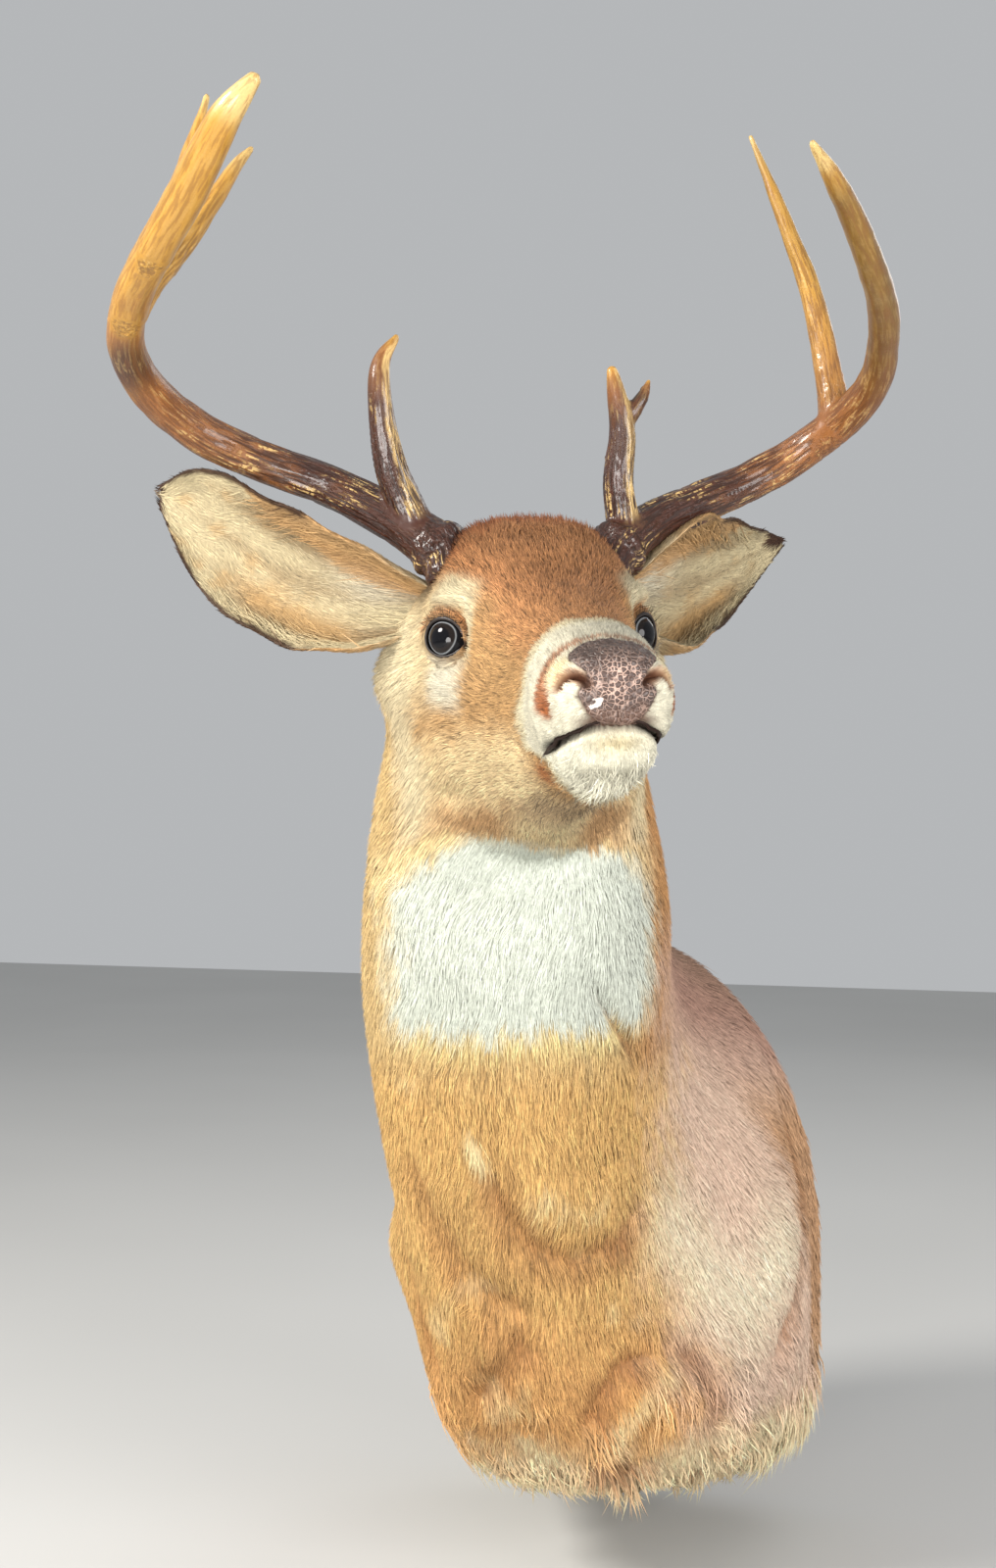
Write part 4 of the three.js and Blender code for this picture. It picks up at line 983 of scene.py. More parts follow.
def scatter(grid, share, count, draw):
    """Random places on a grid: cells are drawn by area times share, places inside them evenly.
    Returns the cells' four corners, the corners' weights and each place's row and column."""
    next_column = np.roll(np.arange(grid.shape[1]), -1)
    a, b = grid[:-1], grid[1:]
    area = np.linalg.norm(np.cross(b - a, np.roll(a, -1, 1) - a), axis=-1)
    cumulative = np.cumsum((area * share[:-1]).ravel())
    cell = np.searchsorted(cumulative, draw.uniform(0, cumulative[-1], count))
    r, c = np.divmod(cell, grid.shape[1])
    i, j = draw.uniform(size=(2, count))
    corners = [(r, c), (r + 1, c), (r, next_column[c]), (r + 1, next_column[c])]
    weights = [(1 - i) * (1 - j), i * (1 - j), (1 - i) * j, i * j]
    return corners, weights, r + i, c + j


def sample(values, corners, weights):
    """Values of a grid, blended at scattered places."""
    return sum(values[rc] * (w[:, None] if values.ndim == 3 else w) for rc, w in zip(corners, weights))


# Large primes that give each cell of the lattice a number of its own.
CELL_KEY = (73856093, 19349663, 83492791)


def clump(root, size, pull, draw):
    """The shift that draws tufts together in locks: towards the mean root of each cell of a jogged
    lattice of that size."""
    wobble = np.stack([waves(root, size * 3, k) for k in (31, 32, 33)], -1) * size * 0.5
    cell = np.floor((root + wobble) / size).astype(np.int64) * CELL_KEY
    _, group = np.unique(cell[:, 0] ^ cell[:, 1] ^ cell[:, 2], return_inverse=True)
    number = np.bincount(group)
    mean = np.stack([np.bincount(group, root[:, k]) / number for k in range(3)], -1)
    return (mean[group] - root) * pull * draw.uniform(0.5, 1.2, len(root))[:, None]


def pepper(colour, strength, draw):
    """Mixes darker and lighter hairs in, more where strength is high."""
    roll = draw.uniform(size=len(colour))
    factor = np.where(roll < 0.14, 1 - 0.45 * strength, np.where(roll > 0.74, 1 + 0.36 * strength, 1.0))
    return colour * factor[:, None]


def lie_field():
    """The way the hair lies at each point of the hide's grid: back along the body, more and more
    downwards on the trunk, with slow bends."""
    t = ROWS_T[:, None, None]
    down = np.array([0.0, 0.0, -1.0]) * np.interp(t, [9, 12, 15, 19], [0, 0.25, 0.9, 1.1])
    lie = (LIE_DOWN + down) * np.where([False, True, False], 1 - ramp(t, 17.6, 18.7), 1)
    lie = unit(lie - SKIN_NORMALS * (lie * SKIN_NORMALS).sum(-1, keepdims=True))
    swing = (0.22 * waves(SKIN, 75, 21) + 0.14 * waves(SKIN, 26, 22))[..., None]
    return unit(lie * np.cos(swing) + np.cross(SKIN_NORMALS, lie) * np.sin(swing))


SKIN_HEAD = fold_left(to_head(SKIN))
eye_x, eye_y, eye_h = ((SKIN_HEAD - EYE_AT) @ axis for axis in EYE_AXES)


def part_round_eye(lie):
    """Turns hair that would lie over the eye aside: its share towards the eye is taken out."""
    away = unfold(unit(SKIN_HEAD - EYE_AT), to_head(SKIN)) @ AXES
    away = unit(away - SKIN_NORMALS * (away * SKIN_NORMALS).sum(-1, keepdims=True))
    towards = np.maximum(0, -(lie * away).sum(-1, keepdims=True))
    near = bell(np.hypot(eye_x, eye_y), 20, 4) * ramp(eye_h, -14, -4)
    return unit(lie + away * (towards + 0.3) * near[..., None])


def bare_hide():
    """Where no hair grows: within the lids, on the nose pad, and along lips, nostrils and ducts."""
    tall = np.where(eye_y > 0, OPENING["above"], OPENING["below"])
    opening = np.hypot(eye_x / OPENING["half"], eye_y / tall)
    duct, _ = along_path(np.stack([eye_x, eye_y, 0 * eye_x], -1), TEAR_DUCT)
    eye = ((opening < 1.14 + 0.1 * (eye_x > 0)) | (duct < 1.4)) & (eye_h > -12)
    lips = lip_away < 1.1 + 0.8 * np.sin(np.pi * lip_place)
    nostril, _ = along_path(SMOOTH_HEAD, NOSTRIL)
    return eye | lips | (nostril < 2.2) | (pad_inside(SMOOTH_HEAD) > 0.4)


LIE = part_round_eye(lie_field())
SMOOTH_HEAD = fold_left(to_head(SMOOTH))
lip_away, lip_place = along_path(SMOOTH_HEAD, MOUTH_LINE)
BARE = bare_hide()
crown_zone = ramp(-SKIN_HEAD[..., 1], -5, 30) * ramp(SKIN_HEAD[..., 2], 44, 58)
tt_grid = ROWS_T[:, None] * np.ones(SKIN.shape[:2])
length_grid = np.interp(tt_grid, HAIR_T, HAIR_LENGTH) * (1 + 0.35 * crown_zone)
length_grid *= 1 - 0.5 * bell(lip_away, 7, 4)
lift_grid = np.radians(np.interp(tt_grid, HAIR_T, HAIR_LIFT)) * (1 + 0.7 * crown_zone)
width_grid = np.interp(tt_grid, HAIR_T, HAIR_WIDTH)
share_grid = np.interp(tt_grid, HAIR_T, HAIR_SHARE) * np.where(BARE, 0, 1)
# Each part of the coat: from and to which t it reaches, and its number of tufts.
REGIONS = [
    ("muzzle", -1, 4.4, 41000), ("brow_and_cheek", 4.4, 8.2, 42000), ("crown_and_jaw", 8.2, 10.6, 32000),
    ("neck_upper", 10.6, 13.2, 41000), ("neck_lower", 13.2, 14.9, 40000),
    ("shoulder_front", 14.9, 16.4, 40000), ("shoulder", 16.4, 17.9, 32000), ("flank", 17.9, 19.1, 18000),
]
FACE_END, HEAD_HAIR_END = 9, 11
thinner = 0.25 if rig.quick() else 1.0


def root_uv(row, column):
    """Places on the sheet of roots that stand at rows and columns of the hide's grid."""
    t = np.interp(row, np.arange(len(ROWS_T)), ROWS_T)
    phi = np.interp(column, np.arange(len(COLUMNS_PHI) + 1), np.append(COLUMNS_PHI, 2 * np.pi))
    return hide_uv(t, phi)


for region, first, last, count in REGIONS:
    draw = np.random.default_rng(int(first * 10) + 100)
    here = share_grid * ((tt_grid >= first) & (tt_grid < last))
    corners, weights, row, column = scatter(SKIN, here, int(count * thinner), draw)
    root = sample(SKIN, corners, weights)
    normal = unit(sample(SKIN_NORMALS, corners, weights))
    lie = unit(sample(LIE, corners, weights))
    length = sample(length_grid, corners, weights)
    size = np.clip(length.mean() * 0.55, 3, 11)
    tone = markings(sample(SMOOTH, corners, weights))
    saturation = (tone.max(1) - tone.min(1)) / tone.max(1)
    tone = pepper(tone, np.clip(saturation * 1.3, 0.06, 1) * (1.35 if last < FACE_END else 1.0), draw)
    lie = unit(lie + clump(root, size, 0.6 if last < FACE_END else 0.4, draw) / length[:, None])
    tufts = tuft_mesh("coat_" + region, root, normal, lie, length, sample(width_grid, corners, weights),
                      sample(lift_grid, corners, weights), tone, root_uv(row, column))
    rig.slot(tufts, "coat_head" if last < HEAD_HAIR_END else "coat_body")


def locks(name, count, share, length, width, lift, bend, seed, slot, wander, tone_shift):
    """Bent tufts over the hide's grid, drawn where share is high, in locks of uneven length."""
    draw = np.random.default_rng(seed)
    corners, weights, row, column = scatter(SKIN, share * ~BARE, int(count * thinner), draw)
    root = sample(SKIN, corners, weights)
    normal = unit(sample(SKIN_NORMALS, corners, weights))
    lie = unit(sample(LIE, corners, weights))
    lie = unit(lie + clump(root, 14, 0.8, draw) / length)
    tone = pepper(markings(sample(SMOOTH, corners, weights)) * tone_shift, 0.7, draw)
    tone *= 1 + 0.22 * waves(root, 16, seed)[:, None]
    uneven = 0.3 * waves(root, 36, seed + 1) + 0.25 * waves(root, 14, seed + 2)
    made = tuft_mesh(name, root, normal, lie, length * np.clip(0.8 + uneven, 0.4, 1.4),
                     np.full(len(root), float(width)), np.full(len(root), lift), tone,
                     root_uv(row, column), bend, wander)
    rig.slot(made, slot)


lower_edge = ramp(tt_grid, 18.3, 18.8) * ramp(-SKIN[..., 2], 80, 150)
bottom = ramp(-SKIN[..., 2], 120, 165) * np.clip(0.55 + 0.7 * waves(SKIN, 34, 26), 0.1, 1.5)
brisket = ramp(-SKIN[..., 2], 60, 120) * ramp(-SKIN[..., 1], 90, 180)
brisket *= np.clip(0.3 + waves(SKIN, 60, 23), 0, 1)
chest = ramp(tt_grid, 12, 14) * np.clip(waves(SKIN, 90, 24) - 0.2, 0, 1)
chin = ramp(SKIN_HEAD[..., 1], 20, 60) * ramp(-SKIN_HEAD[..., 2], 76, 86)
chin_edge = ramp(SKIN_HEAD[..., 1], 96, 120) * bell(SKIN_HEAD[..., 2] + 80, 9)
# Name, number, where, length, width, lift, bend, seed, slot, stray from the lie, lighter by.
LOCKS = [
    ("fringe", 7000, lower_edge * 0.5 + bottom, 31, 1.3, 0.5, 0.35, 51, "coat_body", 0.16, 1.1),
    ("brisket_locks", 6000, brisket, 26, 1.25, 0.3, 0.4, 52, "coat_body", 0.2, 1.12),
    ("neck_locks", 3000, chest, 17, 1.0, 0.26, 0.3, 53, "coat_body", 0.2, 1.1),
    ("crown_locks", 1700, crown_zone, 14, 0.85, 0.55, 0.5, 54, "coat_head", 0.3, 0.9),
    ("chin_locks", 1100, chin_edge, 9, 0.6, 0.5, 0.3, 57, "coat_head", 0.3, 1.05),
    ("chin_whiskers", 260, chin, 13, 0.4, 0.7, 0.25, 55, "coat_head", 0.5, 0.35),
]
for lock in LOCKS:
    locks(*lock)

# The ears' hair: short on the back, thin inside with long wisps from the edges, dark on the rim.
EAR_TUFTS, EAR_WISPS = 13500, 900
for index, (ear_name, ear) in enumerate(EARS.items()):
    draw = np.random.default_rng(61 + ear["side"])
    uu, vv, turn, shell = ear_grid(ear)
    outwards = grid_normals(shell) * -ear["side"]
    inner = (np.sin(turn)[None, :] * np.ones_like(uu)) < 0
    if (outwards * (shell - shell.mean(1, keepdims=True))).sum() < 0:
        outwards = -outwards
    along = unit(np.gradient(shell, axis=0))
    marks = ear_marks(ear, uu, vv, inner, shell)
    rim = ramp(np.abs(vv), 0.86, 0.98)
    share = (np.where(inner, 0.55, 1.0) + rim * 1.2) * ramp(uu, 0.0, 0.05)
    corners, weights, row, column = scatter(shell, share, int(EAR_TUFTS * thinner), draw)
    root = sample(shell, corners, weights)
    tone = pepper(sample(marks, corners, weights), 0.5, draw)
    at_rim = sample(rim, corners, weights)
    across = sample(unit(np.cross(along, outwards)), corners, weights)
    swing = 0.5 * waves(root, 30, 25) * (1 - at_rim)
    lie = unit(sample(along, corners, weights) + across * swing[:, None])
    u_root = np.interp(row, np.arange(EAR_ROWS), uu[:, 0])
    tufts = tuft_mesh("coat_ear_" + ear_name, root, unit(sample(outwards, corners, weights)), lie,
                      6.0 - 1.2 * at_rim, np.full(len(root), 0.95), np.full(len(root), 0.2), tone,
                      ear_uv(index, u_root, column / EAR_COLUMNS))
    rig.slot(tufts, "coat_ear")
    share = bell(np.abs(vv) - 0.8, 0.14) * ramp(-uu, -0.8, -0.4) + ramp(-uu, -0.3, -0.1) * 0.7
    corners, weights, row, column = scatter(shell, inner * share + 1e-6, int(EAR_WISPS * thinner), draw)
    root = sample(shell, corners, weights)
    inwards = unit(shell.mean(1)[np.clip(row.astype(int) + 6, 0, EAR_ROWS - 1)] - root)
    normal = unit(sample(outwards, corners, weights))
    lie = unit(sample(along, corners, weights) * 0.9 + inwards * 0.8)
    lie = unit(lie - normal * (lie * normal).sum(1, keepdims=True))
    tone = sample(marks, corners, weights) * draw.uniform(1.0, 1.4, (len(root), 1))
    u_root = np.interp(row, np.arange(EAR_ROWS), uu[:, 0])
    wisps = tuft_mesh("ear_wisps_" + ear_name, root, normal, lie, np.full(len(root), 17.0),
                      np.full(len(root), 0.7), np.full(len(root), 0.26), tone,
                      ear_uv(index, u_root, column / EAR_COLUMNS), 0.3, 0.16)
    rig.slot(wisps, "coat_ear")

# ------------------------------------------------------------------ eyes
# Glass eyes, black with a thin pale ring, set in clay; bare dark lid edges close on them, with the
# tear duct in front and lashes above.

EYE_FRONT_RINGS, EYE_BACK_RINGS, EYE_SPOKES = 90, 20, 72
CORNEA_RISE, RING_AT, RING_WIDTH = 0.9, np.radians(32), 0.024
GLASS_BLACK, IRIS_GLOW, RING_TONE = (0.004, 0.004, 0.005), (0.008, 0.005, 0.003), (0.22, 0.23, 0.24)
LID_STEPS, LID_SPOKES, LID_SPAN = 96, 14, 1.0


def eye_mesh(side):
    """A ball whose poles lie along the gaze, its front raised like a cornea within the ring; the
    ring is a bell of the angle from the gaze."""
    polar = np.concatenate([np.linspace(0.015, 1.0, EYE_FRONT_RINGS),
                            np.linspace(1.06, np.pi - 0.05, EYE_BACK_RINGS)])
    turn = np.linspace(0, 2 * np.pi, EYE_SPOKES, endpoint=False)
    a, b = np.meshgrid(polar, turn, indexing="ij")
    radius = EYE_RADIUS + CORNEA_RISE * bell(a, 0.52, 4)
    way = np.stack([np.sin(a) * np.cos(b), np.sin(a) * np.sin(b), np.cos(a)], -1) @ EYE_AXES
    ends = EYE_AT + EYE_AXES[2] * np.array([[radius[0, 0]], [-radius[-1, 0]]])
    points = np.concatenate([(way * radius[..., None] + EYE_AT).reshape(-1, 3), ends])
    ring = bell(a - RING_AT - 0.02 * np.sin(3 * b), RING_WIDTH)[..., None]
    iris = ramp(a, 0.3, 0.42)[..., None] * ramp(-a, -0.58, -0.52)[..., None]
    tone = np.array(GLASS_BLACK) + iris * np.array(IRIS_GLOW)
    tone = tone + ring * (np.array(RING_TONE) - tone) * 0.9
    return (from_head(points * (side, 1, 1)), capped_faces(len(polar), EYE_SPOKES),
            np.concatenate([tone.reshape(-1, 3), tone[[0, -1], 0]]))


def eye_material():
    """Polished glass over a dark painted ball."""
    wires = Wires("eye_glass", Roughness=0.03, Specular_IOR_Level=0.2)
    return wires.set(Base_Color=wires.node("VertexColor", {"layer_name": "marks"}))


def lid_edge(side):
    """A tube round the eye's opening: an ellipse drawn out at the tear duct, laid on the ball."""
    turn = np.linspace(0, 2 * np.pi, LID_STEPS, endpoint=False)
    corner = bell(np.minimum(turn, 2 * np.pi - turn), 0.3)
    x = OPENING["half"] * np.cos(turn) + 3.2 * corner
    y = np.where(np.sin(turn) > 0, OPENING["above"], OPENING["below"]) * np.sin(turn) - 1.4 * corner
    h = np.sqrt(np.maximum((EYE_RADIUS + LID_SPAN) ** 2 - x ** 2 - y ** 2, 12))
    core = EYE_AT + np.stack([x, y, h], 1) @ EYE_AXES
    ahead = unit(np.roll(core, -1, 0) - np.roll(core, 1, 0))
    outside = unit(core - EYE_AT)
    across = np.cross(ahead, outside)
    spin = np.linspace(0, 2 * np.pi, LID_SPOKES, endpoint=False)
    wide = 1.05 + 0.35 * np.sin(turn)[:, None, None]
    tube = core[:, None] + wide * (across[:, None] * np.cos(spin)[None, :, None]
                                   + outside[:, None] * 0.75 * np.sin(spin)[None, :, None])
    quads = closed_grid_faces(LID_STEPS + 1, LID_SPOKES) % (LID_STEPS * LID_SPOKES)
    return from_head(tube.reshape(-1, 3) * (side, 1, 1)), halved(quads), core, outside


def lid_material():
    """Bare dark lid skin, slightly moist."""
    wires = Wires("lid_edge", Specular_IOR_Level=0.4)
    place = wires.place()
    grain = wires.node("TexNoise", None, Vector=place, Scale=900.0, Detail=3.0)
    tone = wires.mix(grain, (0.006, 0.004, 0.004), (0.024, 0.015, 0.011))
    return wires.set(Base_Color=tone, Roughness=grain * 0.2 + 0.34, Normal=wires.bump(grain, 0.35, 0.0004))


EYE_GLASS, LID_SKIN = eye_material(), lid_material()
LASHES = slice(4, 44)
for side_name, side in (("left", 1), ("right", -1)):
    points, faces, tone = eye_mesh(side)
    eye = mesh_object("eyeball_" + side_name, points, outward(points, faces))
    paint(eye, "marks", tone)
    eye.data.materials.append(EYE_GLASS)
    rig.ride(eye, "root")
    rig.slot(eye, "eye_glass")
    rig.replaces(eye, "eye_" + side_name)
    points, faces, core, outside = lid_edge(side)
    lid = mesh_object("lid_edge_" + side_name, points, outward(points, faces))
    lid.data.materials.append(LID_SKIN)
    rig.ride(lid, "root")
    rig.slot(lid, "nose_skin")
    start = core[LASHES] + outside[LASHES] * 1.2
    start += np.random.default_rng(71).normal(0, 0.5, start.shape)
    spread = unit((core - core.mean(0))[LASHES] + EYE_AXES[1] * 3)
    count, mirror = len(start), (side, 1, 1)
    lashes = tuft_mesh("lashes_" + side_name, from_head(start * mirror), (spread * mirror) @ AXES,
                       (outside[LASHES] * mirror) @ AXES, np.full(count, 5.5), np.full(count, 0.3),
                       np.full(count, 0.7), np.full((count, 3), 0.012), np.full((count, 2), 0.3), -0.5, 0.2)
    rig.slot(lashes, "coat_head")

# ------------------------------------------------------------------ nose pad
# Bare leathery skin over the muzzle's front, cracked into pebbles, with a nostril cut into it on
# each side; the white hair of the muzzle grows up to its edge.

PAD_ROWS, PAD_COLUMNS = 130, 260
PAD_DARK, PAD_MIDDLE = (0.052, 0.033, 0.026), (0.080, 0.046, 0.036)
PAD_RED, PAD_CRACK, PAD_PALE_SPOT = (0.105, 0.052, 0.032), (0.50, 0.34, 0.27), (0.66, 0.58, 0.52)
GROOVE_DEPTH, GROOVE_WIDTH = 7.5, 2.2


def nostril_depth(q):
    """A groove along the nostril's curve: depth * exp(-(distance / width)^2), narrower at its end."""
    away, place = along_path(q, NOSTRIL)
    return GROOVE_DEPTH * bell(away, GROOVE_WIDTH - 0.7 * place)


def pad_mesh():
    """The muzzle's surface, raised inside the pad's edge and sunk under the hide outside it."""
    t = spaced(-0.995, 2.4, PAD_ROWS, [(-0.3, 0.5, 1.0)])
    phi = np.linspace(0, 2 * np.pi, PAD_COLUMNS, endpoint=False)
    tt, pp = np.meshgrid(t, phi, indexing="ij")
    base = coat_surface(tt, pp)
    q = fold_left(to_head(base))
    inside = pad_inside(q) + 0.5 * waves(base, 5, 81)
    groove = nostril_depth(q)
    height = 0.6 - 5.6 * (1 - ramp(inside, -2.2, 0.4)) - 0.5 * bell(inside - 0.6, 0.8)
    height -= 9 * ramp(-inside, 3, 14)
    height += 0.30 * waves(base, 3.0, 82) * ramp(inside, 0, 2)
    height += 0.5 * bell(q[..., 0], 5) * ramp(q[..., 2], -44, -30)
    height -= 0.9 * bell(q[..., 0], 0.9) * ramp(-q[..., 2], 32, 44) + groove
    points = base + grid_normals(base) * height[..., None]
    tone = np.ones(q.shape) * np.array(PAD_DARK)
    middle = spot(q, (0, 170, -31), (19, 40, 11), 3)
    low = ramp(-q[..., 2] + waves(base, 9, 83) * 2, 39, 45)
    lay = brush(tone)
    lay(PAD_MIDDLE, middle)
    lay(PAD_RED, low * 0.8)
    # Painted shade deep in the nostril's groove.
    lay(BLACK, ramp(groove, 4, 7) * 0.8)
    lay(PAD_RED, bell(groove - 2.6, 1.4) * 0.6)
    # Pale crack lines: wear, and towards the pad's middle a painted highlight.
    cracks = np.clip(0.12 + 0.88 * middle * (0.8 + 0.3 * waves(base, 12, 84)) + 0.12 * low, 0, 1)
    return (np.concatenate([points.reshape(-1, 3), points[[0, -1]].mean(1)]),
            capped_faces(len(t), len(phi)), np.concatenate([tone.reshape(-1, 3), tone[[0, -1], 0]]),
            np.concatenate([cracks.ravel(), cracks[[0, -1], 0]]))


def pad_material():
    """Pebbled nose leather: dark cells, paler crack lines from wear and a painted highlight in the middle, and a small
    pale spot.
    """
    wires = Wires("nose_leather", Specular_IOR_Level=0.5)
    tone = wires.node("VertexColor", {"layer_name": "marks"})
    wear_and_highlight = wires.node("Attribute", {"attribute_name": "cracks"}).at("Fac")
    place = wires.place()

    def stirred(scale, detail, by):
        """The place, moved about by a noise's colour, by that much at most."""
        stir = wires.node("TexNoise", None, Vector=place, Scale=scale, Detail=detail).at("Color")
        return wires.node("VectorMath", {"operation": "MULTIPLY_ADD"}, i0=stir, i1=(by, by, by), i2=place)

    edge = wires.node("TexVoronoi", {"feature": "DISTANCE_TO_EDGE"}, Vector=stirred(300.0, 2.0, 0.0018),
                      Scale=420.0)
    grain = wires.node("TexNoise", None, Vector=place, Scale=1400.0, Detail=3.0)
    crack = 1 - wires.ease(edge, 0.01, 0.15)
    dome = wires.ease(edge, 0.0, 0.30)
    patches = wires.node("TexNoise", None, Vector=place, Scale=160.0, Detail=2.0)
    patchy = wires.node("MapRange", None, Value=patches, i1=0.30, i2=0.52)
    # Pale crack lines over the cells: wear, with a painted highlight towards the pad's middle.
    colour = wires.mix(crack * wear_and_highlight * patchy, wires.mix(grain * 0.5, tone, (0.02, 0.012, 0.012)), PAD_CRACK)
    # A small pale spot on the pad.
    from_pale_spot = wires.node("VectorMath", {"operation": "SUBTRACT"}, i0=stirred(170.0, 3.0, PALE_SPOT_STIR),
                           i1=tuple(PALE_SPOT_AT * MM + PALE_SPOT_STIR / 2))
    pale_spot = 1 - wires.ease(wires.node("VectorMath", {"operation": "LENGTH"}, i0=from_pale_spot).at("Value"),
                          0.0030, 0.0036)
    return wires.set(Base_Color=wires.mix(pale_spot, colour, PAD_PALE_SPOT), Roughness=grain * 0.25 + 0.30,
                     Normal=wires.bump(dome + grain * 0.15, 0.8, 0.0006))


PALE_SPOT_AT, PALE_SPOT_STIR = from_head((-9.5, 169.6, -39.5)) + 0.4, 0.010
points, faces, tone, cracks = pad_mesh()
pad = mesh_object("nose_pad", points, outward(points, faces))
paint(pad, "marks", tone)
paint(pad, "cracks", np.repeat(cracks[:, None], 3, 1))
pad.data.materials.append(pad_material())
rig.ride(pad, "root")
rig.slot(pad, "nose_skin")
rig.replaces(pad, "nose")

# The lips' bare edges show as a thin dark line that thickens towards the corners of the mouth.
LIP_RADIUS, LIP_SINK = (0.6, 0.8, 1.1, 1.5, 1.3, 0.3), 1.0
LIP_STEPS, LIP_END, LIP_SPOKES = 60, 54, 12


def lips_mesh():
    """A closed tube along the mouth's line, part sunk: its middle is the mean of the hide's points
    near each place of the line, weighted by exp(-(distance / 2)^2)."""
    half = catmull_rom(np.array(MOUTH_LINE, float), np.linspace(0, len(MOUTH_LINE) - 1, LIP_STEPS))
    half = half[:LIP_END]
    line = from_head(np.concatenate([half[:0:-1] * (-1, 1, 1), half]))
    near = lip_away < 9
    weight = np.exp(-((line[:, None] - SKIN[near][None]) ** 2).sum(-1) / 4)
    weight /= weight.sum(1, keepdims=True)
    middle, out = weight @ SKIN[near], unit(weight @ SKIN_NORMALS[near])
    ahead = unit(np.gradient(middle, axis=0))
    out = unit(out - ahead * (out * ahead).sum(-1, keepdims=True))
    place = np.abs(np.linspace(-1, 1, len(line)))
    radius = np.interp(place, np.linspace(0, 1, len(LIP_RADIUS)), LIP_RADIUS)
    turn = np.linspace(0, 2 * np.pi, LIP_SPOKES, endpoint=False)[None, :, None]
    ring = out[:, None] * np.cos(turn) + np.cross(ahead, out)[:, None] * np.sin(turn)
    points = middle[:, None] - out[:, None] * LIP_SINK + ring * radius[:, None, None]
    return (np.concatenate([points.reshape(-1, 3), middle[[0, -1]]]),
            capped_faces(len(line), LIP_SPOKES))


def lip_material():
    """Bare lip skin, nearly black and a little moist."""
    wires = Wires("lip_skin", Specular_IOR_Level=0.15)
    wet = wires.node("TexNoise", None, Vector=wires.place(), Scale=500.0, Detail=3.0)
    return wires.set(Base_Color=wires.mix(wet, (0.020, 0.008, 0.005), (0.006, 0.003, 0.002)),
                     Roughness=wet * 0.3 + 0.4, Normal=wires.bump(wet, 0.4, 0.0004))


points, faces = lips_mesh()
lips = mesh_object("lips", points, outward(points, faces))
lips.data.materials.append(lip_material())
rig.ride(lips, "root")
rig.slot(lips, "nose_skin")

# ------------------------------------------------------------------ antlers
# Bone, stained by bark: dark and deeply furrowed with pearls near the skull, golden and smooth
# towards the rubbed tips, under varnish. Each antler is a main beam with tines growing from it.

# Paths in the head's frame: left, forward, up and radius, in mm, from the skull to the tip.
ANTLERS = {
    "right": {
        "beam": [(-44, -46, 37, 15), (-47, -55, 51, 15), (-74, -70, 74, 13.5), (-109, -86, 95, 12.5),
                 (-148, -92, 111, 12), (-182, -84, 126, 12), (-210, -58, 146, 11), (-221, -22, 165, 10.2),
                 (-215, 20, 181, 10), (-203, 62, 193, 9.8), (-189, 100, 206, 9.5), (-177, 130, 221, 8.8),
                 (-167, 150, 233, 7.2), (-155, 160, 245, 3.5)],
        "brow": [(-58, -62, 60, 11.5), (-69, -60, 84, 10.5), (-76, -55, 102, 9.2), (-80, -50, 122, 7.8),
                 (-82, -47, 143, 6.8), (-80, -48, 160, 5.3), (-70, -52, 175, 2.2)],
        "second": [(-217, 3, 174, 8.5), (-208, -2, 192, 8.5), (-197, -12, 206, 7.5), (-184, -25, 225, 6.5),
                   (-169, -38, 249, 5.2), (-157, -48, 269, 3.8), (-148, -52, 280, 1.8)],
        "third": [(-203, 63, 192, 7.5), (-197, 66, 207, 6.8), (-189, 58, 226, 6), (-182, 48, 249, 4.5),
                  (-174, 40, 277, 1.8)],
    },
    "left": {
        "beam": [(44, -46, 35, 15), (53, -55, 50, 15), (77, -68, 67, 13.2), (107, -82, 80, 12.6),
                 (138, -93, 92, 12.2), (166, -94, 105, 12), (186, -84, 118, 11.5), (201, -62, 131, 11),
                 (206, -32, 145, 10), (199, 2, 160, 9), (184, 40, 174, 8.5), (163, 78, 186, 7.5),
                 (141, 112, 200, 6.5), (121, 140, 211, 5), (104, 160, 221, 2)],
        "brow": [(62, -60, 56, 11), (59, -58, 75, 9.8), (57, -54, 94, 9), (59, -50, 120, 7.8),
                 (56, -48, 140, 6), (53, -47, 156, 3)],
        "kicker": [(59, -50, 122, 5), (66, -49, 132, 4.8), (72, -49, 141, 3.6), (76, -50, 150, 1.5)],
        "second": [(194, -73, 124, 9.5), (196, -73, 138, 9.5), (194, -76, 160, 8.5), (191, -80, 187, 7.5),
                   (185, -84, 217, 6.5), (176, -89, 247, 5.2), (168, -94, 274, 3.8), (157, -100, 308, 1.5)],
    },
}
BURR_AT, BURR_WIDTH, BURR_RISE = 1.15, 0.18, 4.0
BRANCH_STEPS, BRANCH_SPOKES, VOXEL = 12, 24, 1.2
BONE_DARK, BONE_BROWN, BONE_GOLD = (0.050, 0.016, 0.009), (0.25, 0.095, 0.026), (0.47, 0.245, 0.040)
BONE_TIP, BONE_RIDGE_AND_LIT_SIDE, BEAM_UNDER_SHADE = (0.58, 0.40, 0.15), (0.72, 0.49, 0.19), (0.045, 0.018, 0.010)


def branch(path, beam):
    """A path's dense middle line, radii, direction, and two cross directions carried along it
    unturned; a beam swells to a burr near its root."""
    table = np.array(path, float)
    t = np.linspace(0, len(path) - 1, (len(path) - 1) * BRANCH_STEPS + 1)
    line = catmull_rom(table, t)
    middle, radius = from_head(line[:, :3]), line[:, 3].copy()
    if beam:
        radius += BURR_RISE * bell(t - BURR_AT, BURR_WIDTH)
    ahead = unit(np.gradient(middle, axis=0))
    first = [unit(np.cross(ahead[0], (0.3, 0.5, 0.8)))]
    for way in ahead[1:]:
        first.append(unit(first[-1] - way * (first[-1] @ way)))
    first = np.array(first)
    return middle, radius, ahead, first, np.cross(ahead, first)


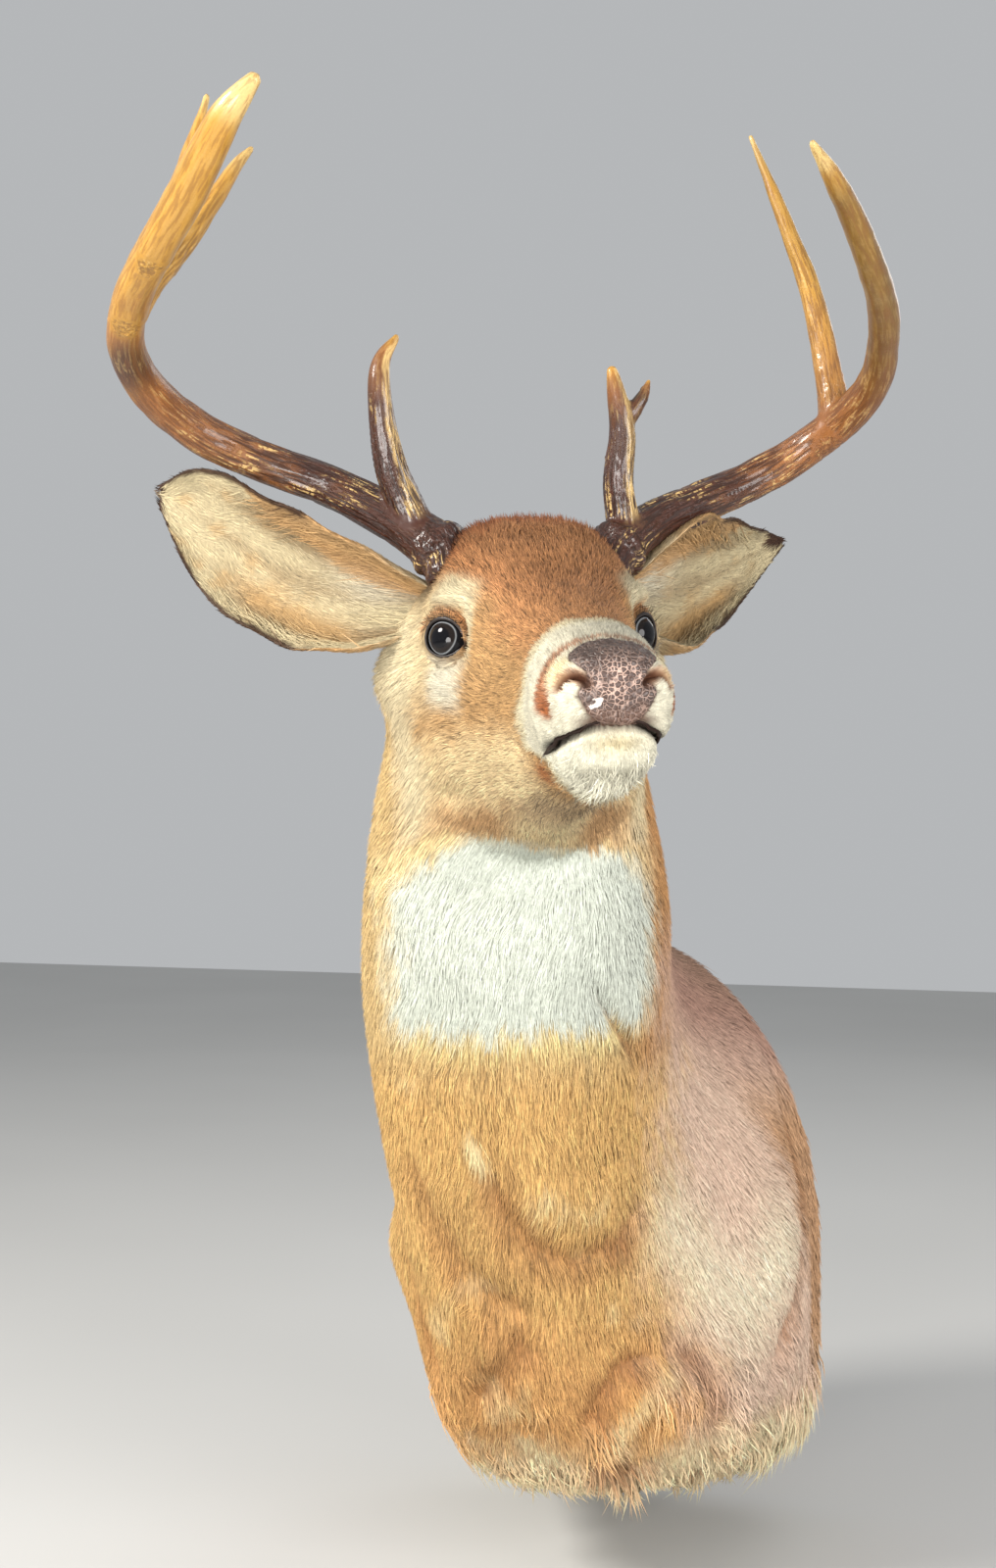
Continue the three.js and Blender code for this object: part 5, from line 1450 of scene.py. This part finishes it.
def branch_tube(middle, radius, ahead, first, second):
    """Circles of the radii about the middle line, closed by points, for the joining below."""
    turn = np.linspace(0, 2 * np.pi, BRANCH_SPOKES, endpoint=False)
    ring = first[:, None] * np.cos(turn)[None, :, None] + second[:, None] * np.sin(turn)[None, :, None]
    points = (middle[:, None] + ring * radius[:, None, None]).reshape(-1, 3)
    ends = np.array([middle[0] - ahead[0] * radius[0] * 0.5, middle[-1] + ahead[-1] * radius[-1] * 0.7])
    points = np.concatenate([points, ends])
    return points, outward(points, capped_faces(len(middle), BRANCH_SPOKES))


def joined(name, tubes):
    """The tubes' union as a mesh, its points and normals: remeshed, then relaxed so that the joints
    flow."""
    starts = np.cumsum([0] + [len(p) for p, _ in tubes[:-1]])
    raw = mesh_object(name + "_raw", np.concatenate([p for p, _ in tubes]),
                      np.concatenate([f + s for (_, f), s in zip(tubes, starts)]))
    remesh = raw.modifiers.new("join", "REMESH")
    remesh.mode, remesh.voxel_size = "VOXEL", VOXEL * MM
    relax = raw.modifiers.new("relax", "SMOOTH")
    relax.factor, relax.iterations = 0.5, 8
    mesh = bpy.data.meshes.new_from_object(raw.evaluated_get(bpy.context.evaluated_depsgraph_get()))
    bpy.data.objects.remove(raw)
    co = np.empty(len(mesh.vertices) * 3, np.float32)
    mesh.vertices.foreach_get("co", co)
    normal = np.empty(len(mesh.vertices) * 3, np.float32)
    mesh.vertices.foreach_get("normal", normal)
    return mesh, co.reshape(-1, 3).astype(float) / MM, normal.reshape(-1, 3).astype(float)


def unrolled(points, piece):
    """Points seen from a branch: distance over radius, place along it in mm, its parameter, and the
    point on a straight rod, x and y across it and z along it."""
    middle, radius, ahead, first, second = piece
    length = np.concatenate([[0], np.cumsum(np.linalg.norm(np.diff(middle, axis=0), axis=1))])
    near = np.concatenate([np.argmin(((part[:, None] - middle[None]) ** 2).sum(-1), 1)
                           for part in np.array_split(points, 40)])
    away = points - middle[near]
    along = length[near] + (away * ahead[near]).sum(1)
    x, y = (away * first[near]).sum(1), (away * second[near]).sum(1)
    return np.hypot(x, y) / radius[near], along, along / length[-1], np.stack([x, y, along], 1)


def furrows(rod, size, seed):
    """Winding grooves that run along a rod: narrow valleys where a stretched noise crosses zero."""
    return bell(waves(rod * (1, 1, 0.12), size, seed), 0.32)


def bone_tone(name, side, share):
    """A branch's colour by its share of the way to the tip, blended between stops."""
    if name == "beam":
        stops = [(0, BONE_DARK), (0.18, BONE_DARK), (0.34, BONE_BROWN), (0.5, BONE_BROWN),
                 (0.72, BONE_GOLD), (0.93, BONE_GOLD), (1.0, BONE_TIP)]
    elif name in ("brow", "kicker"):
        stops = [(0, BONE_DARK), (0.66, BONE_DARK), (0.88, BONE_BROWN), (1.0, BONE_GOLD)]
    else:
        first = BONE_GOLD if side == "right" else BONE_BROWN
        stops = [(0, first), (0.45, BONE_GOLD), (0.8, BONE_GOLD), (1.0, BONE_TIP)]
    at, tones = zip(*stops)
    return np.stack([np.interp(share, at, column) for column in zip(*tones)], 1)


def antler(side):
    """An antler, furrowed, with its colours: each point blends what its nearest branches give it,
    by exp(-4 * distance / radius)."""
    paths = ANTLERS[side]
    pieces = [branch(path, name == "beam") for name, path in paths.items()]
    mesh, points, normal = joined("antler_" + side, [branch_tube(*p) for p in pieces])
    seen = [unrolled(points, p) for p in pieces]
    closeness = np.array([np.exp(-4 * np.maximum(s[0], 0.4)) for s in seen])
    closeness /= closeness.sum(0)
    height, tone = np.zeros(len(points)), np.zeros((len(points), 3))
    rods, roughs, best = np.zeros((len(points), 3)), np.zeros(len(points)), np.zeros(len(points))
    for k, (name, (_, along, place, rod)) in enumerate(zip(paths, seen)):
        beam = name == "beam"
        rough = 1 - ramp(along, 90, 320)
        if not beam:
            rough = (1 - ramp(place, 0.35, 0.95)) * (1 if name == "brow" else 0.35)
        rough = np.clip(rough, 0.06, 1)
        groove = np.clip(furrows(rod, 7, 91 + k) * 0.7 + furrows(rod, 4.2, 95 + k) * 0.5, 0, 1)
        pearl = ramp(waves(rod, 4.5, 99 + k), 0.4, 1.2) * (1 - ramp(along, 10, 60))
        relief_here = rough * (0.4 - 1.2 * groove) + pearl * (0.9 if beam else 0.54)
        height += closeness[k] * (relief_here + 0.25 * waves(rod, 22, 97) * (1 - rough))
        top = closeness[k] > best
        rods[top] = rod[top] + (0, 0, ROD_APART * k)
        roughs[top], best[top] = rough[top], closeness[k][top]
        share = np.clip(place + 0.05 * waves(rod, 30, 98), 0, 1)
        base = bone_tone(name, side, share)
        lay = brush(base)
        if name == "brow":
            # Pale streaked ridges on the side of the brow tine that faces (0.95, -0.3, 0.1), laid there as painted
            # light on its lit side.
            lit_facing = normal @ unit((0.95, -0.3, 0.1)) + 0.12 * waves(rod * (1, 1, 0.3), 9, 88)
            streaks = ramp(waves(rod * (1, 1, 0.16), 2.6, 86), -0.7, 0.1)
            lay(BONE_RIDGE_AND_LIT_SIDE, ramp(lit_facing, 0.70, 0.88) * ramp(share, 0.03, 0.2) * streaks * 0.85)
        if side == "left":
            stain = ramp(place, 0.4, 0.6) * ramp(-place, -0.99, -0.9)
            base *= (1 - (0.55 if beam else 0.3) * stain)[:, None]
        lay(BONE_DARK, groove * rough * 0.6)
        base *= (1 - 0.30 * ramp(waves(rod * (1, 1, 0.06), 9, 87), 0.2, 1.2) * (1 - rough))[:, None]
        tone += closeness[k][:, None] * base
    sure = ramp(best, 0.52, 0.72)
    # Painted shade on the right beam's underside, next to the fork of its second tine.
    if side == "right":
        brush(tone)(BEAM_UNDER_SHADE, spot(to_head(points), BEAM_SHADE_AT, BEAM_SHADE_SIZE) * 0.9)
    mesh.vertices.foreach_set("co", ((points + normal * height[:, None]) * MM).astype(np.float32).ravel())
    mesh.update()
    made = bpy.data.objects.new("antler_" + side, mesh)
    bpy.context.scene.collection.objects.link(made)
    paint(made, "marks", np.clip(tone, 0.004, 0.9))
    paint(made, "rough", np.repeat((roughs * sure)[:, None], 3, 1))
    paint(made, "calm", np.repeat(1 - sure[:, None], 3, 1))
    layer = made.data.attributes.new("rod", "FLOAT_VECTOR", "POINT")
    layer.data.foreach_set("vector", (rods * MM).astype(np.float32).ravel())
    return made


def bone_material():
    """Varnished bone: beaded ridges and dark grooves that run along each branch, and pores."""
    wires = Wires("antler_bone", Specular_IOR_Level=0.35, Coat_Roughness=0.06, Coat_Weight=0.3)
    tone = wires.node("VertexColor", {"layer_name": "marks"})
    rough = wires.node("Attribute", {"attribute_name": "rough"}).at("Fac")
    rod = wires.node("Attribute", {"attribute_name": "rod"}).at("Vector")
    place = wires.place()
    calm = wires.node("Attribute", {"attribute_name": "calm"}).at("Fac")
    lines = wires.node("TexNoise", None, Scale=1.0, Detail=2.5,
                       Vector=wires.node("Mapping", None, Vector=rod, Scale=(620.0, 620.0, 60.0)))
    lines = (lines - 0.5) * (1 - calm) + 0.5
    cloud = wires.node("TexNoise", None, Scale=1.0, Detail=2.0,
                       Vector=wires.node("Mapping", None, Vector=rod, Scale=(70.0, 70.0, 22.0)))
    bead = wires.ease(wires.node("TexNoise", None, Vector=place, Scale=420.0, Detail=1.0), 0.38, 0.55)
    grain = wires.node("TexNoise", None, Vector=place, Scale=900.0, Detail=4.0)
    ridge = wires.ease(lines, 0.52, 0.60)
    groove = wires.ease(lines, 0.49, 0.41)
    colour = wires.mix(groove * (rough * 0.75 + 0.12), tone, (0.022, 0.009, 0.006))
    colour = wires.mix(ridge * bead * rough * wires.ease(cloud, 0.46, 0.62) * 0.8, colour, BONE_RIDGE_AND_LIT_SIDE)
    colour = wires.mix(ridge * (1 - rough) * 0.10, colour, BONE_RIDGE_AND_LIT_SIDE)
    colour = wires.mix(groove * (1 - rough) * 0.30, colour, BONE_BROWN)
    return wires.set(Base_Color=wires.mix(grain * 0.3, colour, (0.03, 0.012, 0.006)),
                     Roughness=grain * 0.2 + 0.30,
                     Normal=wires.bump((ridge * bead - groove) * rough + grain * 0.12 + lines * 0.25,
                                       0.7, 0.0007))


# Place and size of the painted shade under the right beam, in the head's frame.
BEAM_SHADE_AT, BEAM_SHADE_SIZE = (-221, -26, 152), (17, 30, 12)
ROD_APART = 500.0
BONE = bone_material()
for side in ANTLERS:
    made = antler(side)
    made.data.materials.clear()
    made.data.materials.append(BONE)
    made.data.polygons.foreach_set("use_smooth", np.ones(len(made.data.polygons), bool))
    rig.ride(made, "root")
    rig.slot(made, "antler")
    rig.replaces(made, *[node for node in frame["nodes"] if node.startswith("antler_" + side)])

# ------------------------------------------------------------------ board and hanger
# The form is screwed to a plywood board that the coat's edge hides, with a zinc-plated steel
# keyhole plate to hang it by.


def wood_material():
    """Sanded softwood ply: long growth lines across the board, a little darker in the late wood."""
    wires = Wires("board_wood", Specular_IOR_Level=0.3)
    place = wires.place()
    stretched = wires.node("Mapping", None, Vector=place, Scale=(6.0, 40.0, 60.0))
    wave = wires.node("TexNoise", None, Vector=stretched, Scale=1.0, Detail=4.0, Distortion=0.6)
    fibre = wires.node("TexNoise", None, Scale=1.0, Detail=3.0,
                       Vector=wires.node("Mapping", None, Vector=place, Scale=(40.0, 900.0, 900.0)))
    lines = wires.node("ValToRGB", {"stops": [(0.38, (0.62, 0.43, 0.24)), (0.5, (0.52, 0.33, 0.17)),
                                              (0.6, (0.66, 0.47, 0.28))]}, Fac=wave)
    return wires.set(Base_Color=wires.mix(fibre * 0.35, lines, (0.33, 0.2, 0.1)),
                     Roughness=fibre * 0.2 + 0.55, Normal=wires.bump(fibre, 0.3, 0.0004))


def zinc_material():
    """Zinc-plated steel: pale, faintly mottled, lightly scratched."""
    wires = Wires("hanger_steel", Metallic=1.0)
    place = wires.place()
    spangle = wires.node("TexVoronoi", {"feature": "F1"}, Vector=place, Scale=260.0).at("Color")
    scratch = wires.node("TexNoise", None, Scale=1.0, Detail=3.0,
                         Vector=wires.node("Mapping", None, Vector=place, Scale=(2200.0, 300.0, 120.0)))
    tone = wires.mix(0.25, (0.62, 0.63, 0.66), spangle)
    return wires.set(Base_Color=wires.mix(scratch * 0.3, tone, (0.3, 0.31, 0.33)),
                     Roughness=scratch * 0.3 + 0.22, Normal=wires.bump(scratch, 0.15, 0.0002))


WOOD, ZINC = wood_material(), zinc_material()
FINISHES = {"backboard": WOOD, "hanger": ZINC, "hanger_screw_1": ZINC, "hanger_screw_2": ZINC}
for node, finish in FINISHES.items():
    for seat in frame["nodes"][node].material_slots:
        seat.material = finish

# ------------------------------------------------------------------ floor, light and camera
# A plain pale grey floor just under the mount, round soft studio lights and the camera.

FLOOR_SIZE, FLOOR_Z = 9.0, -0.235
SKY_TONE, SKY_STRENGTH = (0.80, 0.82, 0.84, 1), 0.58
# Each light: its place, the point it looks at, its size, all in metres, its watts and its colour.
LIGHTS = {
    "key": ((-1.3, -1.7, 1.5), (0.05, -0.3, 0.15), 0.7, 72, (1.0, 0.96, 0.90)),
    "front": ((0.1, -2.2, 0.0), (0.05, -0.3, -0.05), 0.9, 46, (1.0, 0.98, 0.95)),
    "fill": ((2.0, -1.2, 0.5), (0.1, -0.2, 0.0), 1.2, 44, (1.0, 0.98, 0.97)),
    "rim": ((0.6, 1.9, 1.6), (0.05, -0.2, 0.2), 1.2, 7, (1.0, 1.0, 1.0)),
}
LENS, SENSOR = 42.75, 36.0
CAMERA_AT, CAMERA_TILT, CAMERA_TURN = (0.430, -1.4291, 0.2862), 1.206, 20


def flat_square(name, size, z):
    """A square of that size at height z, in metres."""
    corners = np.array([(-1, -1, 0), (1, -1, 0), (1, 1, 0), (-1, 1, 0)]) * size / 2 + (0, 0, z)
    return mesh_object(name, corners / MM, np.array([[0, 1, 2, 3]]), False)


def floor_material():
    """Matt grey paper with a faint unevenness."""
    wires = Wires("floor_paper", Roughness=0.9, Specular_IOR_Level=0.1)
    place = wires.place()
    cloud = wires.node("TexNoise", None, Vector=place, Scale=1.5, Detail=2.0)
    return wires.set(Base_Color=wires.mix(cloud, (0.50, 0.50, 0.49), (0.56, 0.56, 0.55)))


floor = flat_square("floor", FLOOR_SIZE, FLOOR_Z)
floor.data.materials.append(floor_material())
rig.stage(floor)


def area_light(name, place, aim, size, power, tone):
    """A round soft light at a place, turned towards a point."""
    lamp = bpy.data.lights.new(name, "AREA")
    lamp.shape, lamp.size, lamp.energy, lamp.color = "DISK", size, power, tone
    made = bpy.data.objects.new(name, lamp)
    made.location = place
    made.rotation_euler = (Vector(aim) - Vector(place)).to_track_quat("-Z", "Y").to_euler()
    bpy.context.scene.collection.objects.link(made)


for light_name, light in LIGHTS.items():
    area_light(light_name, *light)
world = bpy.data.worlds.new("studio")
world.use_nodes = True
world.node_tree.nodes["Background"].inputs[0].default_value = SKY_TONE
world.node_tree.nodes["Background"].inputs[1].default_value = SKY_STRENGTH
bpy.context.scene.world = world
bpy.context.scene.view_settings.view_transform = "Standard"

camera = bpy.data.cameras.new("camera")
camera.lens, camera.sensor_width, camera.sensor_fit = LENS, SENSOR, "AUTO"
view = bpy.data.objects.new("camera", camera)
view.location = CAMERA_AT
view.rotation_euler = (np.radians(90 + CAMERA_TILT), 0, np.radians(CAMERA_TURN))
bpy.context.scene.collection.objects.link(view)
bpy.context.scene.camera = view


def box_numbers(box):
    """A box as plain lists of numbers."""
    return [[float(v) for v in corner] for corner in box]


with open("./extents.json", "w") as record:
    json.dump({"cad": box_numbers(cad_box), "visual": box_numbers(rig.bounds())}, record)
